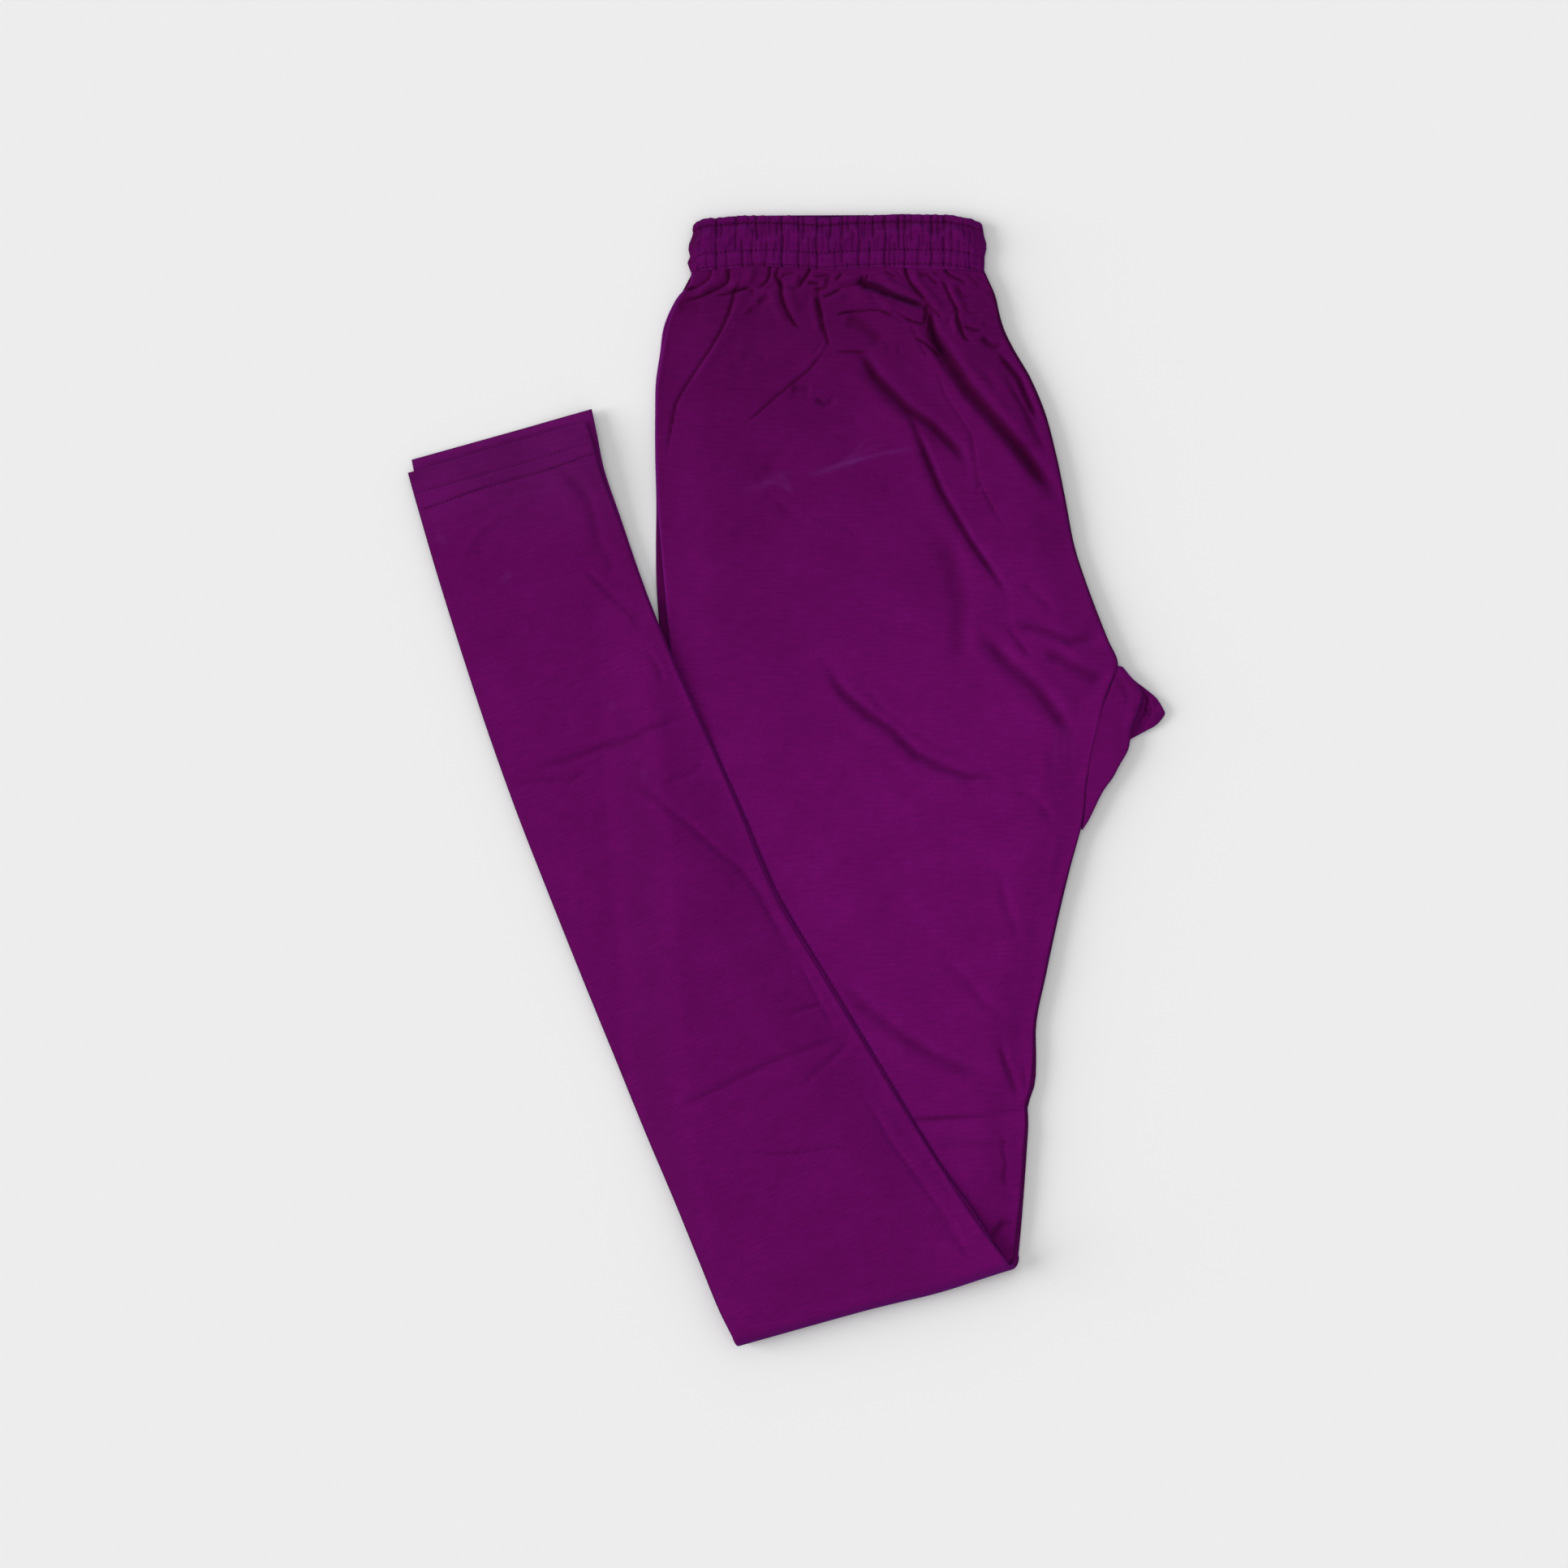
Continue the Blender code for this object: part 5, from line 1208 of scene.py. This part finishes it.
# painted shade in the band's gathers and stitch dents, and over the top channel above the elastic's ridge
def bandDark(x, y, z):
    t = bandTopAt(x) - y
    dark = -bandRelief(x, t) / 2.4 + 0.16 * smooth((12.0 - t) / 5.0) + 0.8 * stitchLines(x, t)
    return dark * (z > topPlyFrom)


# painted shade deep in the gusset's creases
def gussetDark(gusset):
    return lambda x, y, z: -creaseHeight(gusset["folds"], x, y) / 1.8


# paler toward the hem
def hemPale(x, y):
    return 0.06 * smooth((y - 110.0) / 60.0) * (x < pastBody)


def overPale(x, y, z):
    return creaseHeight(rubMarks, x, y) * (z > topPlyFrom) + hemPale(x, y)


def underPale(x, y, z):
    return creaseHeight(paleSpots, x, y) * (z > topPlyFrom) + hemPale(x, y)


paint(legOver, bodyTone, upperDark, overPale)
paint(legUnder, lowerTone, lowerDark, underPale)
paint(waistband, bandTone, bandDark, nothing)
paint(gussetPieces[0], gussetTone, gussetDark(gussetOver), nothing)
paint(gussetPieces[1], gussetTone, gussetDark(gussetUnder), nothing)


# Stitches: small beads of thread laid along a line on the cloth
def stitches(name, points, length, gap, thick):
    bm = bmesh.new()
    pts = np.array(points, dtype=float)
    steps = np.linalg.norm(pts[1:] - pts[:-1], axis=1)
    place = np.concatenate(([0.0], np.cumsum(steps)))
    size = (length / 2 * mm, thick / 2 * mm, thick / 2 * mm)
    for d in np.arange(gap, place[-1], length + gap):
        here = np.array([np.interp(d, place, pts[:, k]) for k in range(3)])
        ahead = np.array([np.interp(min(d + length, place[-1]), place, pts[:, k]) for k in range(3)])
        span = ahead - here
        if np.linalg.norm(span) < 0.2:
            continue
        tilt = math.atan2(span[2], math.hypot(span[0], span[1]))
        lie = Euler((0.0, -tilt, math.atan2(span[1], span[0])))
        bmesh.ops.create_uvsphere(bm, u_segments=8, v_segments=5, radius=1.0,
                                  matrix=Matrix.LocRotScale((here + ahead) / 2 * mm, lie, size))
    mesh = bpy.data.meshes.new(name)
    bm.to_mesh(mesh)
    bm.free()
    mesh.shade_smooth()
    mesh.materials.append(threadMaterial)
    thread = bpy.data.objects.new(name, mesh)
    scene.collection.objects.link(thread)
    return thread


# height of a piece's top at any place, from its own finished mesh
def topOf(piece):
    co = np.zeros(len(piece.data.vertices) * 3)
    piece.data.vertices.foreach_get("co", co)
    co = co.reshape(-1, 3) / mm

    def height(x, y):
        near = (np.abs(co[:, 0] - x) < 1.1) & (np.abs(co[:, 1] - y) < 1.1)
        if not near.any():
            return None
        spot = co[near]
        top = spot[:, 2].max()
        high = spot[spot[:, 2] > top - 1.2]
        return float(high[np.argmin(np.hypot(high[:, 0] - x, high[:, 1] - y))][2])
    return height


threadLift = 0.02    # a stitch's middle lies this far above the cloth
bandHeight = topOf(waistband)
threads = []
for number, place in enumerate(band["stitchRows"]):
    line = []
    for x in np.arange(-48.5, 102.0, 0.6):
        y = float(bandTopAt(x)) - place * float(bandTopAt(x) - bandBottomAt(x)) / band["depth"]
        z = bandHeight(x, y)
        if z is not None:
            line.append((x, y, z + threadLift))
    threads.append(stitches("bandStitch%d" % number, line, *band["stitch"]))

hemHeight = topOf(legUnder)
for number, row in enumerate(hem["rows"]):
    line = []
    for x in np.arange(row[0][0] + 1.5, row[-1][0] - 1.0, 0.8):
        y = float(np.interp(x, [point[0] for point in row], [point[1] for point in row]))
        z = hemHeight(x, y)
        if z is not None and z > underPlyTo:
            line.append((x, y, z + threadLift))
    threads.append(stitches("hemStitch%d" % number, line, *hem["stitch"]))
print("stitches made")

# What each piece stands for
nodeOf = {"leg_over": legOver, "leg_under": legUnder, "waistband": waistband,
          "gusset_over": gussetPieces[0], "gusset_under": gussetPieces[1]}
for nodeName, piece in nodeOf.items():
    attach(piece, "root")
    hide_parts(nodeName)
for thread in threads:
    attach(thread, "root")

# Floor, seen as an even pale ground
floorMesh = bpy.data.meshes.new("floor")
floorBm = bmesh.new()
bmesh.ops.create_grid(floorBm, x_segments=1, y_segments=1, size=3.0)
floorBm.to_mesh(floorMesh)
floorBm.free()
floor = bpy.data.objects.new("floor", floorMesh)
floor.location = (0.0, 0.0, -0.0001)
scene.collection.objects.link(floor)
floorMaterial = bpy.data.materials.new("paleGround")
floorMaterial.use_nodes = True
floorShader = floorMaterial.node_tree.nodes["Principled BSDF"]
floorShader.inputs["Base Color"].default_value = (0.8, 0.8, 0.8, 1.0)
floorShader.inputs["Roughness"].default_value = 1.0
floorShader.inputs["Specular IOR Level"].default_value = 0.0
floorMesh.materials.append(floorMaterial)

# Light: an even dome, a broad light overhead, a low soft key from the left and a little from the waist side
world = bpy.data.worlds.new("studio")
scene.world = world
world.use_nodes = True
world.node_tree.nodes["Background"].inputs["Color"].default_value = (1.0, 1.0, 1.0, 1.0)
world.node_tree.nodes["Background"].inputs["Strength"].default_value = 0.52


# height above the table and the side that it comes from, in degrees
def sun(name, energy, spread, height, side):
    data = bpy.data.lights.new(name, "SUN")
    data.energy = energy
    data.angle = math.radians(spread)
    lamp = bpy.data.objects.new(name, data)
    lamp.rotation_euler = (0.0, math.radians(90 - height), math.radians(side))
    scene.collection.objects.link(lamp)


sun("overhead", 0.50, 60, 90, 0)
sun("key", 3.50, 38, 18, 178)
sun("fromTheTop", 0.24, 60, 28, 90)

# Camera straight above, taking in 831 mm
cameraData = bpy.data.cameras.new("camera")
cameraData.sensor_width = 36.0
cameraData.lens = 108.3
cameraData.clip_end = 10.0
camera = bpy.data.objects.new("camera", cameraData)
camera.location = (-0.0013, -0.0021, 2.5)
scene.collection.objects.link(camera)
scene.camera = camera
scene.view_settings.view_transform = "Standard"
scene.view_settings.look = "None"
print("stage made")
